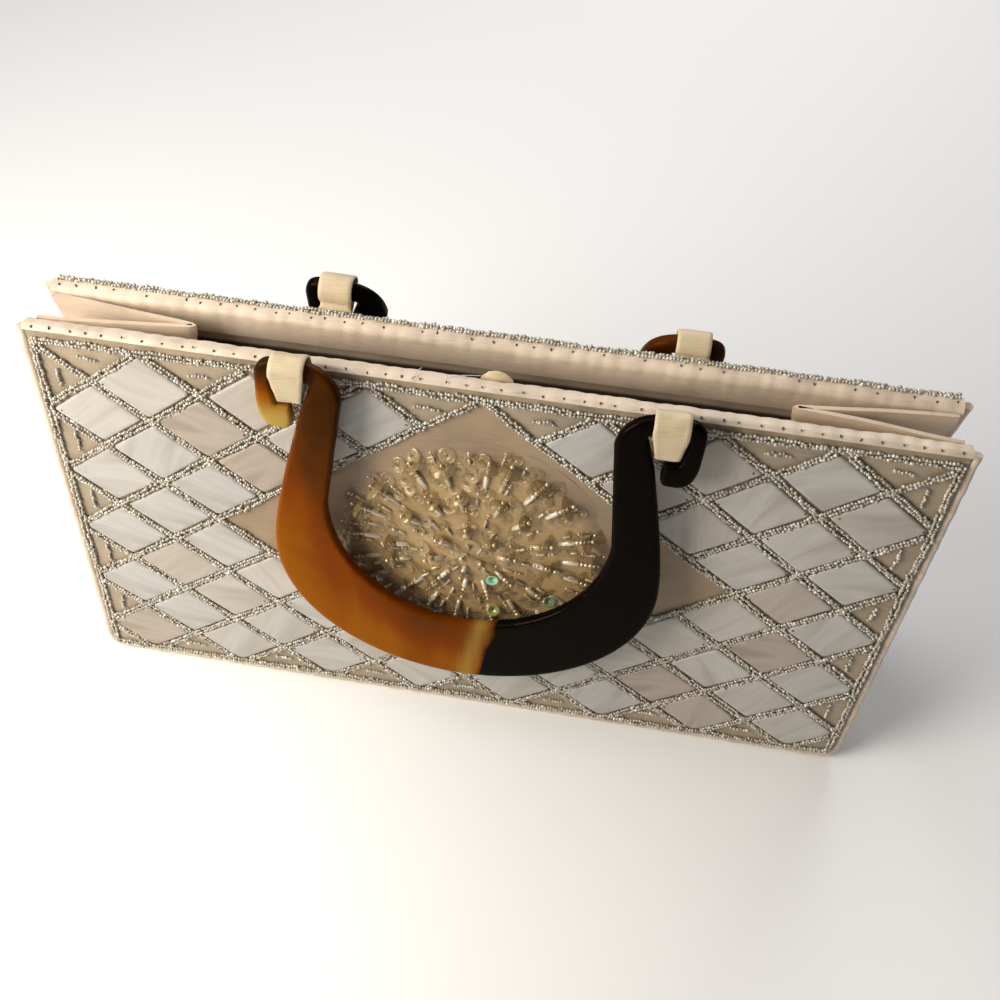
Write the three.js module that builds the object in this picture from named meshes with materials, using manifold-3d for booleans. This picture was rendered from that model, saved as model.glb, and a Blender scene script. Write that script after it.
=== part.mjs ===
// Beaded box handbag: two stiff panels that lean together over a flat base, with folded satin sides,
// a lattice of bead strings and pearl tiles, a round bead medallion and two swinging U handles.
// Millimetres, +Z up, the front faces -Y. The origin is the middle of the base, where the bag stands.

import * as THREE from "three";
import { mergeVertices } from "three/addons/utils/BufferGeometryUtils.js";
import Module from "manifold-3d";

const wasm = await Module();
wasm.setup();

// Driving dimensions
const GAP = 0.3;
const WELD = 1e-4;
const CURVE_SEGMENTS = 5;

const BAG = {
  baseDepth: 73,
  topDepth: 22.2,
  panelHeight: 147.5,
  panelHalfWidth: 139.8,
  panelBottom: 3.3,
  panelLift: 0.4,
  cornerRadius: 4.3,
};

const BASE = { halfWidth: 139.5, halfDepth: 33, thickness: 2.6, cornerRadius: 5, segments: 2 };

// Layers of a panel, measured outwards from the satin face
const LAYER = { board: 2.4, cloth: 1, tile: 0.9, beads: 1.6 };
const BOARD_OUTER = -LAYER.cloth - GAP;
const BOARD_INNER = BOARD_OUTER - LAYER.board;

// Cells are counted in half-cell steps from the middle of the lattice's top line
const LATTICE = {
  halfCellWidth: 17.5,
  halfCellHeight: 12.72,
  columns: 8,
  rows: 11,
  diamondCells: 5,
  fieldHalfWidth: 139.5,
  fieldHeight: 141.3,
  borderWidth: 2.6,
  stringHalfWidth: 1.5,
  tileInset: 1.9,
  topMargin: 1.3,
};

// A padded mound with rings of bead stalks, lean measured from the panel's outward direction
const MEDALLION = {
  radius: 48,
  edge: 1,
  crown: 3,
  segments: 16,
  profileSteps: 2,
  stalkBase: 1.1,
  stalkTip: 1.5,
  stalkSides: 3,
  sink: 0.4,
  rings: [
    { radius: 2, count: 3, length: 6.5, lean: 35 },
    { radius: 8.5, count: 9, length: 9, lean: 62 },
    { radius: 20.5, count: 15, length: 10.5, lean: 73 },
    { radius: 30.5, count: 22, length: 14.2, lean: 82 },
  ],
};

const RIM = { wall: 1, roundness: 2, innerEdge: 138, segments: 4 };
const PIPING = { radius: 1.4, bend: 6, depth: -1.5, top: 147, sides: 8, bendSteps: 4 };

const GUSSET = {
  wall: 1.2,
  edgeX: 138.5,
  creaseRadius: 0.8,
  halfClothBottom: 32.5,
  halfClothTop: 48,
  top: 144.8,
  tuckStart: 131.1,
  tuckEnd: 135,
  levels: [8.5, 17, 34, 62, 98],
  legStops: [0, 0.35, 0.7],
};

// Handle outline in its own plane: drops are measured down from the bar that turns in the tabs
const HANDLE = {
  thickness: 4,
  edge: 0.8,
  out: 7.6,
  barHalf: 3.2,
  cornerRadius: 1.2,
  innerBend: 45.2,
  innerBendDrop: 47,
  innerBendDepth: 43.6,
  outerBend: 62.9,
  outerBendDrop: 66,
  outerBendDepth: 50.2,
  flare: 56.5,
  flareDrop: 30,
  flareEndDrop: 53,
  armOuter: 52.9,
  armOuterDrop: 15,
  eyeInner: 49.2,
  eyeOuter: 60.8,
  eyeFoot: 59.8,
  eyeDrop: 12,
  hookOuter: 65.5,
  hookDrop: 20,
  hookTip: 54.8,
  hookFlat: 59.5,
  shoulderTop: 51,
  shoulderBend: 41.3,
  shoulderBendUp: 1.5,
  shoulderFoot: 40,
  shoulderDrop: 8,
  curveSteps: 3,
};

// A tab is a drop-shaped loop: round over the bar, narrow where it comes back through the handle's eye
const TAB = {
  reach: 55,
  hole: 4,
  footHole: 0.85,
  footDrop: 9.4,
  footOut: 0.3,
  wall: 0.9,
  width: 10.4,
  seamWidth: 13.5,
  footWidth: 7,
  footAside: 0.6,
  neck: 1.4,
  segments: 5,
};

const DOME = { radius: 5.5, rise: 2, x: 3.5, up: 145, segments: 12, profile: [0.3, 0.6, 0.85] };

// What differs between the two sides: places up the panel, and how each handle rests on the medallion
const SIDES = [
  {
    name: "front",
    turn: 0,
    latticeTop: 143.5,
    rimFace: GAP + RIM.wall,
    rimEdge: 147.3,
    barUp: 149.3,
    seamUp: 145.8,
    shift: 0,
    tilt: 0.9,
    swing: 2,
  },
  {
    name: "back",
    turn: Math.PI,
    latticeTop: 144.5,
    rimFace: GAP,
    rimEdge: BAG.panelHeight + GAP,
    barUp: 149,
    seamUp: 146.8,
    shift: -5,
    tilt: -2.5,
    swing: 2,
  },
];

const FINISH = {
  satin: { color: 0xcdb594, roughness: 0.45, metalness: 0 },
  lining: { color: 0x9c8566, roughness: 0.6, metalness: 0 },
  pearl: { color: 0xd8d3c4, roughness: 0.25, metalness: 0 },
  silver: { color: 0xc4c0b8, roughness: 0.25, metalness: 0.6 },
  amber: { color: 0xb58a4a, roughness: 0.3, metalness: 0.2 },
  tortoiseshell: { color: 0x5a2f0c, roughness: 0.2, metalness: 0 },
};

const lean = Math.asin((BAG.baseDepth - BAG.topDepth) / 2 / BAG.panelHeight);

function mesh(name, geometry, finish) {
  const made = new THREE.Mesh(geometry, new THREE.MeshStandardMaterial(FINISH[finish]));
  made.name = name;
  return made;
}

function solidOf(geometry) {
  const bare = geometry.clone();
  bare.deleteAttribute("normal");
  bare.deleteAttribute("uv");
  const merged = mergeVertices(bare, WELD);
  return new wasm.Manifold(
    new wasm.Mesh({
      numProp: 3,
      vertProperties: new Float32Array(merged.attributes.position.array),
      triVerts: new Uint32Array(merged.index.array),
    }),
  );
}

function geometryOf(solid) {
  const { vertProperties, numProp, triVerts } = solid.getMesh();
  return new THREE.BufferGeometry()
    .setAttribute("position", new THREE.BufferAttribute(vertProperties, numProp))
    .setIndex(new THREE.BufferAttribute(triVerts, 1));
}

// Joins closed geometries into one body
function fuse(geometries) {
  return geometryOf(geometries.map(solidOf).reduce((whole, next) => whole.add(next)));
}

// Cuts closed geometries out of a body
function pierce(geometry, cutters) {
  return geometryOf(cutters.map(solidOf).reduce((left, next) => left.subtract(next), solidOf(geometry)));
}

// A flat plate in a panel's frame: x across, z up the panel, thickness outwards along -y
function plate(shape, inner, outer) {
  const geometry = new THREE.ExtrudeGeometry(shape, {
    depth: outer - inner,
    bevelEnabled: false,
    curveSegments: CURVE_SEGMENTS,
  });
  return geometry.translate(0, 0, inner).rotateX(Math.PI / 2);
}

// A bar along x whose section is drawn as (outwards, up the panel)
const SECTION_FRAME = new THREE.Matrix4().makeBasis(
  new THREE.Vector3(0, -1, 0),
  new THREE.Vector3(0, 0, 1),
  new THREE.Vector3(-1, 0, 0),
);

function bar(section, width, centre, curveSegments) {
  const geometry = new THREE.ExtrudeGeometry(section, {
    depth: width,
    bevelEnabled: false,
    curveSegments,
  });
  return geometry.translate(0, 0, -width / 2).applyMatrix4(SECTION_FRAME).translate(centre, 0, 0);
}

// A rectangle whose two lower corners are round
function panelShape(halfWidth, bottom, top, radius) {
  const shape = new THREE.Shape();
  shape.moveTo(halfWidth, top);
  shape.lineTo(-halfWidth, top);
  shape.lineTo(-halfWidth, bottom + radius);
  shape.absarc(-halfWidth + radius, bottom + radius, radius, Math.PI, 1.5 * Math.PI, false);
  shape.lineTo(halfWidth - radius, bottom);
  shape.absarc(halfWidth - radius, bottom + radius, radius, 1.5 * Math.PI, 2 * Math.PI, false);
  return shape;
}

// Corners of a lozenge of the lattice, drawn in from its edges by the inset
function lozenge(column, row, latticeTop, inset, cells = 1) {
  const halfWidth = LATTICE.halfCellWidth * cells;
  const halfHeight = LATTICE.halfCellHeight * cells;
  const inradius = (halfWidth * halfHeight) / Math.hypot(halfWidth, halfHeight);
  const scale = (inradius - inset) / inradius;
  const x = column * LATTICE.halfCellWidth;
  const z = latticeTop - row * LATTICE.halfCellHeight;
  return [
    new THREE.Vector2(x + halfWidth * scale, z),
    new THREE.Vector2(x, z + halfHeight * scale),
    new THREE.Vector2(x - halfWidth * scale, z),
    new THREE.Vector2(x, z - halfHeight * scale),
  ];
}

// Keeps the part of a convex polygon on one side of a straight limit
function clip(points, axis, limit, below) {
  const inside = (point) => (below ? point[axis] <= limit : point[axis] >= limit);
  return points.flatMap((point, i) => {
    const next = points[(i + 1) % points.length];
    const kept = inside(point) ? [point] : [];
    if (inside(point) !== inside(next)) {
      const along = (limit - point[axis]) / (next[axis] - point[axis]);
      kept.push(point.clone().lerp(next, along));
    }
    return kept;
  });
}

// Every cell of the lattice outside the bare middle lozenge
function latticeCells() {
  const middleRow = LATTICE.diamondCells;
  const cells = [];
  for (let row = 0; row <= LATTICE.rows; row++) {
    for (let column = -LATTICE.columns; column <= LATTICE.columns; column++) {
      const isCell = (row + column) % 2 !== 0;
      const isOutside = Math.abs(column) + Math.abs(row - middleRow) >= LATTICE.diamondCells;
      if (isCell && isOutside) cells.push({ column, row });
    }
  }
  return cells;
}

function isWholeCell({ column, row }) {
  return row > 0 && row < LATTICE.rows && Math.abs(column) < LATTICE.columns;
}

// The rectangle inside the bead border, drawn in further by a margin
function clipToBorder(corners, side, margin) {
  const top = side.latticeTop + LATTICE.topMargin - LATTICE.borderWidth - margin;
  const bottom = side.latticeTop + LATTICE.topMargin - LATTICE.fieldHeight + LATTICE.borderWidth + margin;
  const edge = LATTICE.fieldHalfWidth - LATTICE.borderWidth - margin;
  let kept = clip(corners, "x", edge, true);
  kept = clip(kept, "x", -edge, false);
  kept = clip(kept, "y", top, true);
  return clip(kept, "y", bottom, false);
}

function tileField(side) {
  const cloth = plate(
    panelShape(BAG.panelHalfWidth, BAG.panelBottom, BAG.panelHeight, BAG.cornerRadius),
    -LAYER.cloth,
    0,
  );
  const clearance = LATTICE.tileInset - LATTICE.stringHalfWidth;
  const tiles = latticeCells()
    .filter(isWholeCell)
    .map(({ column, row }) => {
      const corners = lozenge(column, row, side.latticeTop, LATTICE.tileInset);
      const clear = clipToBorder(corners, side, clearance);
      return plate(new THREE.Shape(clear), -LAYER.cloth / 2, LAYER.tile);
    });
  return fuse([cloth, ...tiles]);
}

function beadLattice(side) {
  const top = side.latticeTop + LATTICE.topMargin;
  const bottom = top - LATTICE.fieldHeight;
  const field = panelShape(LATTICE.fieldHalfWidth, bottom, top, BAG.cornerRadius);
  const middle = LATTICE.diamondCells;
  const holes = latticeCells().map(({ column, row }) =>
    clipToBorder(lozenge(column, row, side.latticeTop, LATTICE.stringHalfWidth), side, 0),
  );
  holes.push(lozenge(0, middle, side.latticeTop, LATTICE.stringHalfWidth, middle));
  const cutters = holes.map((corners) => plate(new THREE.Shape(corners), 0, 2 * GAP + LAYER.beads));
  return pierce(plate(field, GAP, GAP + LAYER.beads), cutters);
}

// A soft mound with leaning stalks in rings, turned so that it rises outwards
function medallion(side) {
  const { radius, edge, crown, profileSteps, sink } = MEDALLION;
  const heightAt = (r) => edge + (crown - edge) * Math.cos((r / radius) * (Math.PI / 2)) ** 2;
  const profile = [new THREE.Vector2(0, GAP), new THREE.Vector2(radius, GAP)];
  for (let step = 0; step <= profileSteps; step++) {
    const r = radius * (1 - step / profileSteps);
    profile.push(new THREE.Vector2(r, heightAt(r)));
  }
  const backing = new THREE.LatheGeometry(profile, MEDALLION.segments);
  const stalks = MEDALLION.rings.flatMap((ring, index) =>
    Array.from({ length: ring.count }, (_, i) => {
      const stalk = new THREE.CylinderGeometry(
        MEDALLION.stalkTip,
        MEDALLION.stalkBase,
        ring.length,
        MEDALLION.stalkSides,
      );
      stalk.translate(0, ring.length / 2, 0);
      stalk.rotateZ(-THREE.MathUtils.degToRad(ring.lean));
      stalk.translate(ring.radius, heightAt(ring.radius) - sink, 0);
      const halfStep = index % 2 ? 0.5 : 0;
      return stalk.rotateY(((i + halfStep) / ring.count) * 2 * Math.PI);
    }),
  );
  const middleUp = side.latticeTop - LATTICE.diamondCells * LATTICE.halfCellHeight;
  return fuse([backing, ...stalks]).rotateX(Math.PI).translate(0, 0, middleUp);
}

// Satin binding folded over a panel's top edge
function rim(side) {
  const top = BAG.panelHeight + GAP + RIM.wall;
  const innerFace = BOARD_INNER - GAP - RIM.wall;
  const outerRadius = Math.min(RIM.roundness, top - side.rimEdge);
  const section = new THREE.Shape();
  section.moveTo(side.rimFace, side.rimEdge);
  section.lineTo(side.rimFace, top - outerRadius);
  section.absarc(side.rimFace - outerRadius, top - outerRadius, outerRadius, 0, Math.PI / 2, false);
  section.lineTo(innerFace + RIM.roundness, top);
  section.absarc(
    innerFace + RIM.roundness,
    top - RIM.roundness,
    RIM.roundness,
    Math.PI / 2,
    Math.PI,
    false,
  );
  section.lineTo(innerFace, RIM.innerEdge);
  section.lineTo(innerFace + RIM.wall, RIM.innerEdge);
  section.lineTo(innerFace + RIM.wall, top - RIM.wall);
  if (side.rimEdge < top - RIM.wall) section.lineTo(side.rimFace - RIM.wall, top - RIM.wall);
  section.lineTo(side.rimFace - RIM.wall, side.rimEdge);
  return bar(section, 2 * BAG.panelHalfWidth, 0, RIM.segments);
}

// A round cord along a flat path of {x, z, angle}, angle being the way across the path
function flatTube(path, radius, sides, depth) {
  const positions = [];
  const index = [];
  const ring = (i) => i * sides;
  for (const { x, z, angle } of path) {
    for (let k = 0; k < sides; k++) {
      const turn = (k / sides) * 2 * Math.PI;
      const across = radius * Math.cos(turn);
      const y = -depth - radius * Math.sin(turn);
      positions.push(x + across * Math.cos(angle), y, z + across * Math.sin(angle));
    }
  }
  for (let i = 0; i + 1 < path.length; i++) {
    for (let k = 0; k < sides; k++) {
      const next = (k + 1) % sides;
      index.push(ring(i) + k, ring(i + 1) + k, ring(i) + next);
      index.push(ring(i) + next, ring(i + 1) + k, ring(i + 1) + next);
    }
  }
  const last = ring(path.length - 1);
  for (let k = 1; k + 1 < sides; k++) {
    index.push(0, k, k + 1);
    index.push(last, last + k + 1, last + k);
  }
  return new THREE.BufferGeometry()
    .setAttribute("position", new THREE.Float32BufferAttribute(positions, 3))
    .setIndex(index);
}

function piping() {
  const { radius, bend, bendSteps } = PIPING;
  const x = BAG.panelHalfWidth + GAP + radius;
  const low = BAG.panelBottom - GAP - radius;
  const path = [{ x: -x, z: PIPING.top, angle: Math.PI }];
  for (const [centre, start] of [
    [-x + bend, Math.PI],
    [x - bend, 1.5 * Math.PI],
  ]) {
    for (let i = 0; i <= bendSteps; i++) {
      const angle = start + (i / bendSteps) * (Math.PI / 2);
      path.push({ x: centre + bend * Math.cos(angle), z: low + bend + bend * Math.sin(angle), angle });
    }
  }
  path.push({ x, z: PIPING.top, angle: 2 * Math.PI });
  return flatTube(path, radius, PIPING.sides, PIPING.depth);
}

// Distance from the bag's middle plane to the inside of a panel, at a height
function insideAt(z) {
  const thickness = -BOARD_INNER;
  const rise = z - BAG.panelLift + thickness * Math.sin(lean);
  return BAG.baseDepth / 2 - thickness * Math.cos(lean) - rise * Math.tan(lean);
}

// Middle line and inward direction of the folded side wall at a height: two legs and a round crease.
// Near the top the wall draws in behind the bindings.
function gussetLine(z, share) {
  const tucked = THREE.MathUtils.clamp(
    (z - GUSSET.tuckStart) / (GUSSET.tuckEnd - GUSSET.tuckStart),
    0,
    1,
  );
  const reach = insideAt(z) - GAP - GUSSET.wall / 2 - tucked * (RIM.wall + GAP);
  const halfCloth = THREE.MathUtils.lerp(GUSSET.halfClothBottom, GUSSET.halfClothTop, share);
  const depth = Math.sqrt(halfCloth ** 2 - reach ** 2);
  const angle = Math.atan2(reach, depth);
  const centreX = GUSSET.edgeX - depth + GUSSET.creaseRadius / Math.sin(angle);
  const tangentX = centreX - GUSSET.creaseRadius * Math.sin(angle);
  const tangentY = GUSSET.creaseRadius * Math.cos(angle);
  const leg = GUSSET.legStops.map((stop) => ({
    x: THREE.MathUtils.lerp(GUSSET.edgeX, tangentX, stop),
    y: THREE.MathUtils.lerp(reach, tangentY, stop),
    inX: -Math.sin(angle),
    inY: Math.cos(angle),
  }));
  leg.push({ x: tangentX, y: tangentY, inX: -Math.sin(angle), inY: Math.cos(angle) });
  const crease = { x: centreX - GUSSET.creaseRadius, y: 0, inX: -1, inY: 0 };
  const mirrored = leg.map((p) => ({ ...p, y: -p.y, inY: -p.inY })).reverse();
  return [...leg, crease, ...mirrored];
}

function gusset() {
  const bottom = BASE.thickness + GAP;
  const { levels, tuckStart, tuckEnd, top } = GUSSET;
  const lines = [bottom, ...levels, tuckStart, tuckEnd, top].map((z) => {
    const share = (z - bottom) / (top - bottom);
    return gussetLine(z, share).map((p) => ({ ...p, z }));
  });
  const width = lines[0].length;
  const half = GUSSET.wall / 2;
  const positions = [];
  for (const side of [-half, half]) {
    for (const line of lines) {
      for (const p of line) positions.push(p.x + side * p.inX, p.y + side * p.inY, p.z);
    }
  }
  const inner = lines.length * width;
  const index = [];
  const quad = (a, b, c, d) => index.push(a, b, c, a, c, d);
  for (let r = 0; r + 1 < lines.length; r++) {
    for (let k = 0; k + 1 < width; k++) {
      const a = r * width + k;
      const b = a + width;
      quad(a, b, b + 1, a + 1);
      quad(inner + a, inner + a + 1, inner + b + 1, inner + b);
    }
    const first = r * width;
    const last = first + width - 1;
    quad(first, inner + first, inner + first + width, first + width);
    quad(last, last + width, inner + last + width, inner + last);
  }
  const topRow = (lines.length - 1) * width;
  for (let k = 0; k + 1 < width; k++) {
    quad(k, k + 1, inner + k + 1, inner + k);
    quad(topRow + k, inner + topRow + k, inner + topRow + k + 1, topRow + k + 1);
  }
  return new THREE.BufferGeometry()
    .setAttribute("position", new THREE.Float32BufferAttribute(positions, 3))
    .setIndex(index);
}

// One closed outline: down one hooked arm, round the bend and up the other
function handleShape() {
  const h = HANDLE;
  const r = h.cornerRadius;
  const hookMiddle = -(h.eyeDrop + h.hookDrop) / 2;
  const half = new THREE.Path();
  half.moveTo(0, -h.outerBendDrop - h.outerBendDepth);
  half.absellipse(0, -h.outerBendDrop, h.outerBend, h.outerBendDepth, -Math.PI / 2, 0, false);
  half.bezierCurveTo(h.outerBend, -h.flareEndDrop, h.flare, -h.flareDrop, h.armOuter, -h.armOuterDrop);
  half.lineTo(h.eyeInner, -h.barHalf - r);
  half.quadraticCurveTo(h.eyeInner, -h.barHalf, h.eyeInner + r, -h.barHalf);
  half.lineTo(h.eyeOuter - r, -h.barHalf);
  half.quadraticCurveTo(h.eyeOuter, -h.barHalf, h.eyeOuter, -h.barHalf - r);
  half.lineTo(h.eyeFoot, -h.eyeDrop + r);
  half.quadraticCurveTo(h.eyeFoot, -h.eyeDrop, h.eyeFoot - r, -h.eyeDrop);
  half.lineTo(h.hookTip + r, -h.eyeDrop);
  half.quadraticCurveTo(h.hookTip, -h.eyeDrop, h.hookTip, hookMiddle);
  half.quadraticCurveTo(h.hookTip, -h.hookDrop, h.hookTip + 2 * r, -h.hookDrop);
  half.lineTo(h.hookFlat, -h.hookDrop);
  half.quadraticCurveTo(h.hookOuter, -h.hookDrop, h.hookOuter, -h.hookDrop / 2);
  half.lineTo(h.hookOuter, -h.barHalf);
  half.quadraticCurveTo(h.hookOuter, h.barHalf, h.hookFlat, h.barHalf);
  half.lineTo(h.shoulderTop, h.barHalf);
  half.quadraticCurveTo(h.shoulderBend, h.shoulderBendUp, h.shoulderFoot, -h.shoulderDrop);
  half.lineTo(h.innerBend, -h.innerBendDrop);
  half.absellipse(0, -h.innerBendDrop, h.innerBend, h.innerBendDepth, 0, -Math.PI / 2, true);
  const right = half.getPoints(h.curveSteps);
  const left = right.slice(1, -1).map((p) => new THREE.Vector2(-p.x, p.y)).reverse();
  return new THREE.Shape([...right, ...left]);
}

function handle() {
  const { thickness, edge } = HANDLE;
  const geometry = new THREE.ExtrudeGeometry(handleShape(), {
    depth: thickness - 2 * edge,
    bevelThickness: edge,
    bevelSize: edge,
    bevelOffset: -edge,
    bevelSegments: 1,
  });
  return geometry.translate(0, 0, edge - thickness / 2).rotateX(Math.PI / 2);
}

// Outline of the tab's loop: two circles and the straight runs that touch both
function tabLoop(path, barUp, grow) {
  const { hole, footHole, footDrop, footOut } = TAB;
  const downwards = Math.atan2(-footDrop, footOut);
  const spread = Math.acos((hole - footHole) / Math.hypot(footDrop, footOut));
  const front = downwards + spread;
  const back = downwards - spread + 2 * Math.PI;
  path.absarc(HANDLE.out, barUp, hole + grow, front, back, false);
  path.absarc(HANDLE.out + footOut, barUp - footDrop, footHole + grow, back, front + 2 * Math.PI, false);
  return path;
}

// A satin loop round the handle's bar on a flat neck that is sewn to the panel, wider at the seam
function tab(x, barUp, seamUp, direction) {
  const loop = tabLoop(new THREE.Shape(), barUp, TAB.wall);
  loop.holes.push(tabLoop(new THREE.Path(), barUp, 0));

  const middle = TAB.hole + TAB.wall / 2;
  const toSeam = Math.atan2(seamUp - barUp, GAP - HANDLE.out);
  const halfNeck = Math.asin(TAB.neck / 2 / middle);
  const onLoop = (angle) =>
    new THREE.Vector2(HANDLE.out + middle * Math.cos(angle), barUp + middle * Math.sin(angle));
  const neck = new THREE.Shape([
    new THREE.Vector2(GAP, seamUp + TAB.neck / 2),
    new THREE.Vector2(GAP, seamUp - TAB.neck / 2),
    onLoop(toSeam + halfNeck),
    onLoop(toSeam - halfNeck),
  ]);

  const geometry = fuse([loop, neck].map((section) => bar(section, TAB.width, x, TAB.segments)));
  const places = geometry.attributes.position;
  const loopBack = HANDLE.out - TAB.hole - TAB.wall;
  const footEnd = TAB.footDrop + TAB.footHole + TAB.wall;
  for (let i = 0; i < places.count; i++) {
    const out = -places.getY(i);
    const nearSeam = THREE.MathUtils.clamp((loopBack - out) / (loopBack - GAP), 0, 1);
    const below = THREE.MathUtils.clamp((barUp - places.getZ(i)) / footEnd, 0, 1) * (1 - nearSeam);
    const width =
      TAB.width + nearSeam * (TAB.seamWidth - TAB.width) + below * (TAB.footWidth - TAB.width);
    const aside = direction * below * TAB.footAside;
    places.setX(i, x + aside + ((places.getX(i) - x) * width) / TAB.width);
  }
  return geometry;
}

function closureDome() {
  const profile = [new THREE.Vector2(0, 0), new THREE.Vector2(DOME.radius, 0)];
  for (const share of DOME.profile) {
    const angle = (share * Math.PI) / 2;
    profile.push(new THREE.Vector2(DOME.radius * Math.cos(angle), DOME.rise * Math.sin(angle)));
  }
  profile.push(new THREE.Vector2(0, DOME.rise));
  const innerFace = -(BOARD_INNER - 2 * GAP - RIM.wall);
  return new THREE.LatheGeometry(profile, DOME.segments).translate(DOME.x, innerFace, DOME.up);
}

function basePanel() {
  const { halfWidth, halfDepth, cornerRadius } = BASE;
  const shape = new THREE.Shape();
  const corners = [
    [halfWidth, halfDepth],
    [-halfWidth, halfDepth],
    [-halfWidth, -halfDepth],
    [halfWidth, -halfDepth],
  ];
  corners.forEach(([x, y], i) => {
    const centreX = x - Math.sign(x) * cornerRadius;
    const centreY = y - Math.sign(y) * cornerRadius;
    shape.absarc(centreX, centreY, cornerRadius, (i * Math.PI) / 2, ((i + 1) * Math.PI) / 2, false);
  });
  return new THREE.ExtrudeGeometry(shape, {
    depth: BASE.thickness,
    bevelEnabled: false,
    curveSegments: BASE.segments,
  });
}

// A panel with all that is sewn to it, and the handle that hangs on it
function sideGroup(side) {
  const leaning = new THREE.Group();
  leaning.rotation.x = -lean;
  leaning.position.set(0, -BAG.baseDepth / 2, BAG.panelLift);

  const outline = panelShape(
    BAG.panelHalfWidth,
    BAG.panelBottom,
    BAG.panelHeight,
    BAG.cornerRadius,
  );
  leaning.add(
    mesh(`${side.name}_panel`, plate(outline, BOARD_INNER, BOARD_OUTER), "lining"),
    mesh(`${side.name}_tile_field`, tileField(side), "pearl"),
    mesh(`${side.name}_bead_lattice`, beadLattice(side), "silver"),
    mesh(`${side.name}_medallion`, medallion(side), "amber"),
    mesh(`${side.name}_rim`, rim(side), "satin"),
    mesh(`${side.name}_piping`, piping(), "satin"),
  );

  const tilt = THREE.MathUtils.degToRad(side.tilt);
  const swinging = mesh(`${side.name}_handle`, handle(), "tortoiseshell");
  swinging.position.set(side.shift, -HANDLE.out, side.barUp);
  swinging.rotation.set(-THREE.MathUtils.degToRad(side.swing), tilt, 0, "YXZ");
  leaning.add(swinging);

  for (const [hand, direction] of [
    ["left", -1],
    ["right", 1],
  ]) {
    const along = direction * TAB.reach;
    const x = side.shift + along * Math.cos(tilt);
    const up = side.barUp - along * Math.sin(tilt);
    const loop = tab(x, up, side.seamUp, direction);
    leaning.add(mesh(`${side.name}_${hand}_tab`, loop, "satin"));
  }

  if (side.name === "front") leaning.add(mesh("closure_dome", closureDome(), "satin"));

  const turned = new THREE.Group();
  turned.rotation.z = side.turn;
  turned.add(leaning);
  return turned;
}

const bag = new THREE.Group();
bag.add(mesh("base_panel", basePanel(), "satin"));
for (const side of SIDES) bag.add(sideGroup(side));

const rightGusset = mesh("right_gusset", gusset(), "satin");
const leftGusset = mesh("left_gusset", gusset(), "satin");
leftGusset.rotation.z = Math.PI;
bag.add(rightGusset, leftGusset);

export default bag;
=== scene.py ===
# Looks of the beaded box handbag: satin, pearl tiles, bead strings, sequins and tortoiseshell handles.
# Sizes are millimetres in the part's frame until a mesh is made, which is in metres.

import math
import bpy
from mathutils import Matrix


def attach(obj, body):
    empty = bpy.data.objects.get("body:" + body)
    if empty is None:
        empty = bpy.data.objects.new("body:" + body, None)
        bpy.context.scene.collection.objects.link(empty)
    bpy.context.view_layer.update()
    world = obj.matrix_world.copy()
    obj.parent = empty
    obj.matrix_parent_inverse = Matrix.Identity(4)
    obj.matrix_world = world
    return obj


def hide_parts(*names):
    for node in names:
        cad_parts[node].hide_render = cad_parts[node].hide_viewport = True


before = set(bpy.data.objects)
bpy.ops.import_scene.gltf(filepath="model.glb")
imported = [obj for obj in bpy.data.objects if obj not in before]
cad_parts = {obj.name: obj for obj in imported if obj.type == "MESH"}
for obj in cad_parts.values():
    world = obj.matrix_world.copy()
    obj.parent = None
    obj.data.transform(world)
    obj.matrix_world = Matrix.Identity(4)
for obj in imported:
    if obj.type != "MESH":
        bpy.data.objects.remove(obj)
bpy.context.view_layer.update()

from types import SimpleNamespace as Side

import bmesh
import bpy
import numpy as np
from mathutils import Matrix, Vector
from mathutils.geometry import delaunay_2d_cdt

MM = 0.001
QUARTER_TURN = math.pi / 2
FULL_TURN = 2 * math.pi

# Sizes shared with the part's source
GAP = 0.3
BASE_DEPTH = 73
BASE_THICKNESS = 2.6
TOP_DEPTH = 22.2
PANEL_HEIGHT = 147.5
PANEL_HALF_WIDTH = 139.8
PANEL_BOTTOM = 3.3
PANEL_LIFT = 0.4
PANEL_CORNER = 4.3
CLOTH = 1.0
BOARD_INNER = -3.7
LEAN = math.asin((BASE_DEPTH - TOP_DEPTH) / 2 / PANEL_HEIGHT)

CELL_WIDTH = 17.5
CELL_HEIGHT = 12.72
CELL_INRADIUS = CELL_WIDTH * CELL_HEIGHT / math.hypot(CELL_WIDTH, CELL_HEIGHT)
COLUMNS = 8
ROWS = 11
DIAMOND = 5
FIELD_HALF_WIDTH = 139.5
FIELD_HEIGHT = 141.3
BORDER = 2.6
TOP_MARGIN = 1.3
TILE_INSET = 1.45
TILE_TOP = 0.9

MEDALLION_RADIUS = 48
MEDALLION_EDGE = 1.0
MEDALLION_CROWN = 3.0
# Rings of stalks: radius of the foot, how many, length, lean from the outward direction in degrees
STALK_RINGS = [(2, 3, 6.5, 35), (8.5, 9, 9, 62), (20.5, 15, 10.5, 73), (30.5, 22, 14.2, 82)]
STALK_SINK = 0.4

RIM_WALL = 1.0
RIM_ROUNDING = 2.6
RIM_INNER_EDGE = 138
RIM_TOP = PANEL_HEIGHT + GAP + RIM_WALL
RIM_INNER_FACE = BOARD_INNER - GAP - RIM_WALL

PIPING_RADIUS = 1.4
PIPING_BEND = 6
PIPING_DEPTH = -1.5
PIPING_TOP = 147
PIPING_X = PANEL_HALF_WIDTH + GAP + PIPING_RADIUS
PIPING_LOW = PANEL_BOTTOM - GAP - PIPING_RADIUS

GUSSET_WALL = 1.2
GUSSET_EDGE_X = 138.5
GUSSET_CLOTH = (32.5, 48)
GUSSET_TOP = 144.8
GUSSET_TUCK = (131.1, 135)

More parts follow.
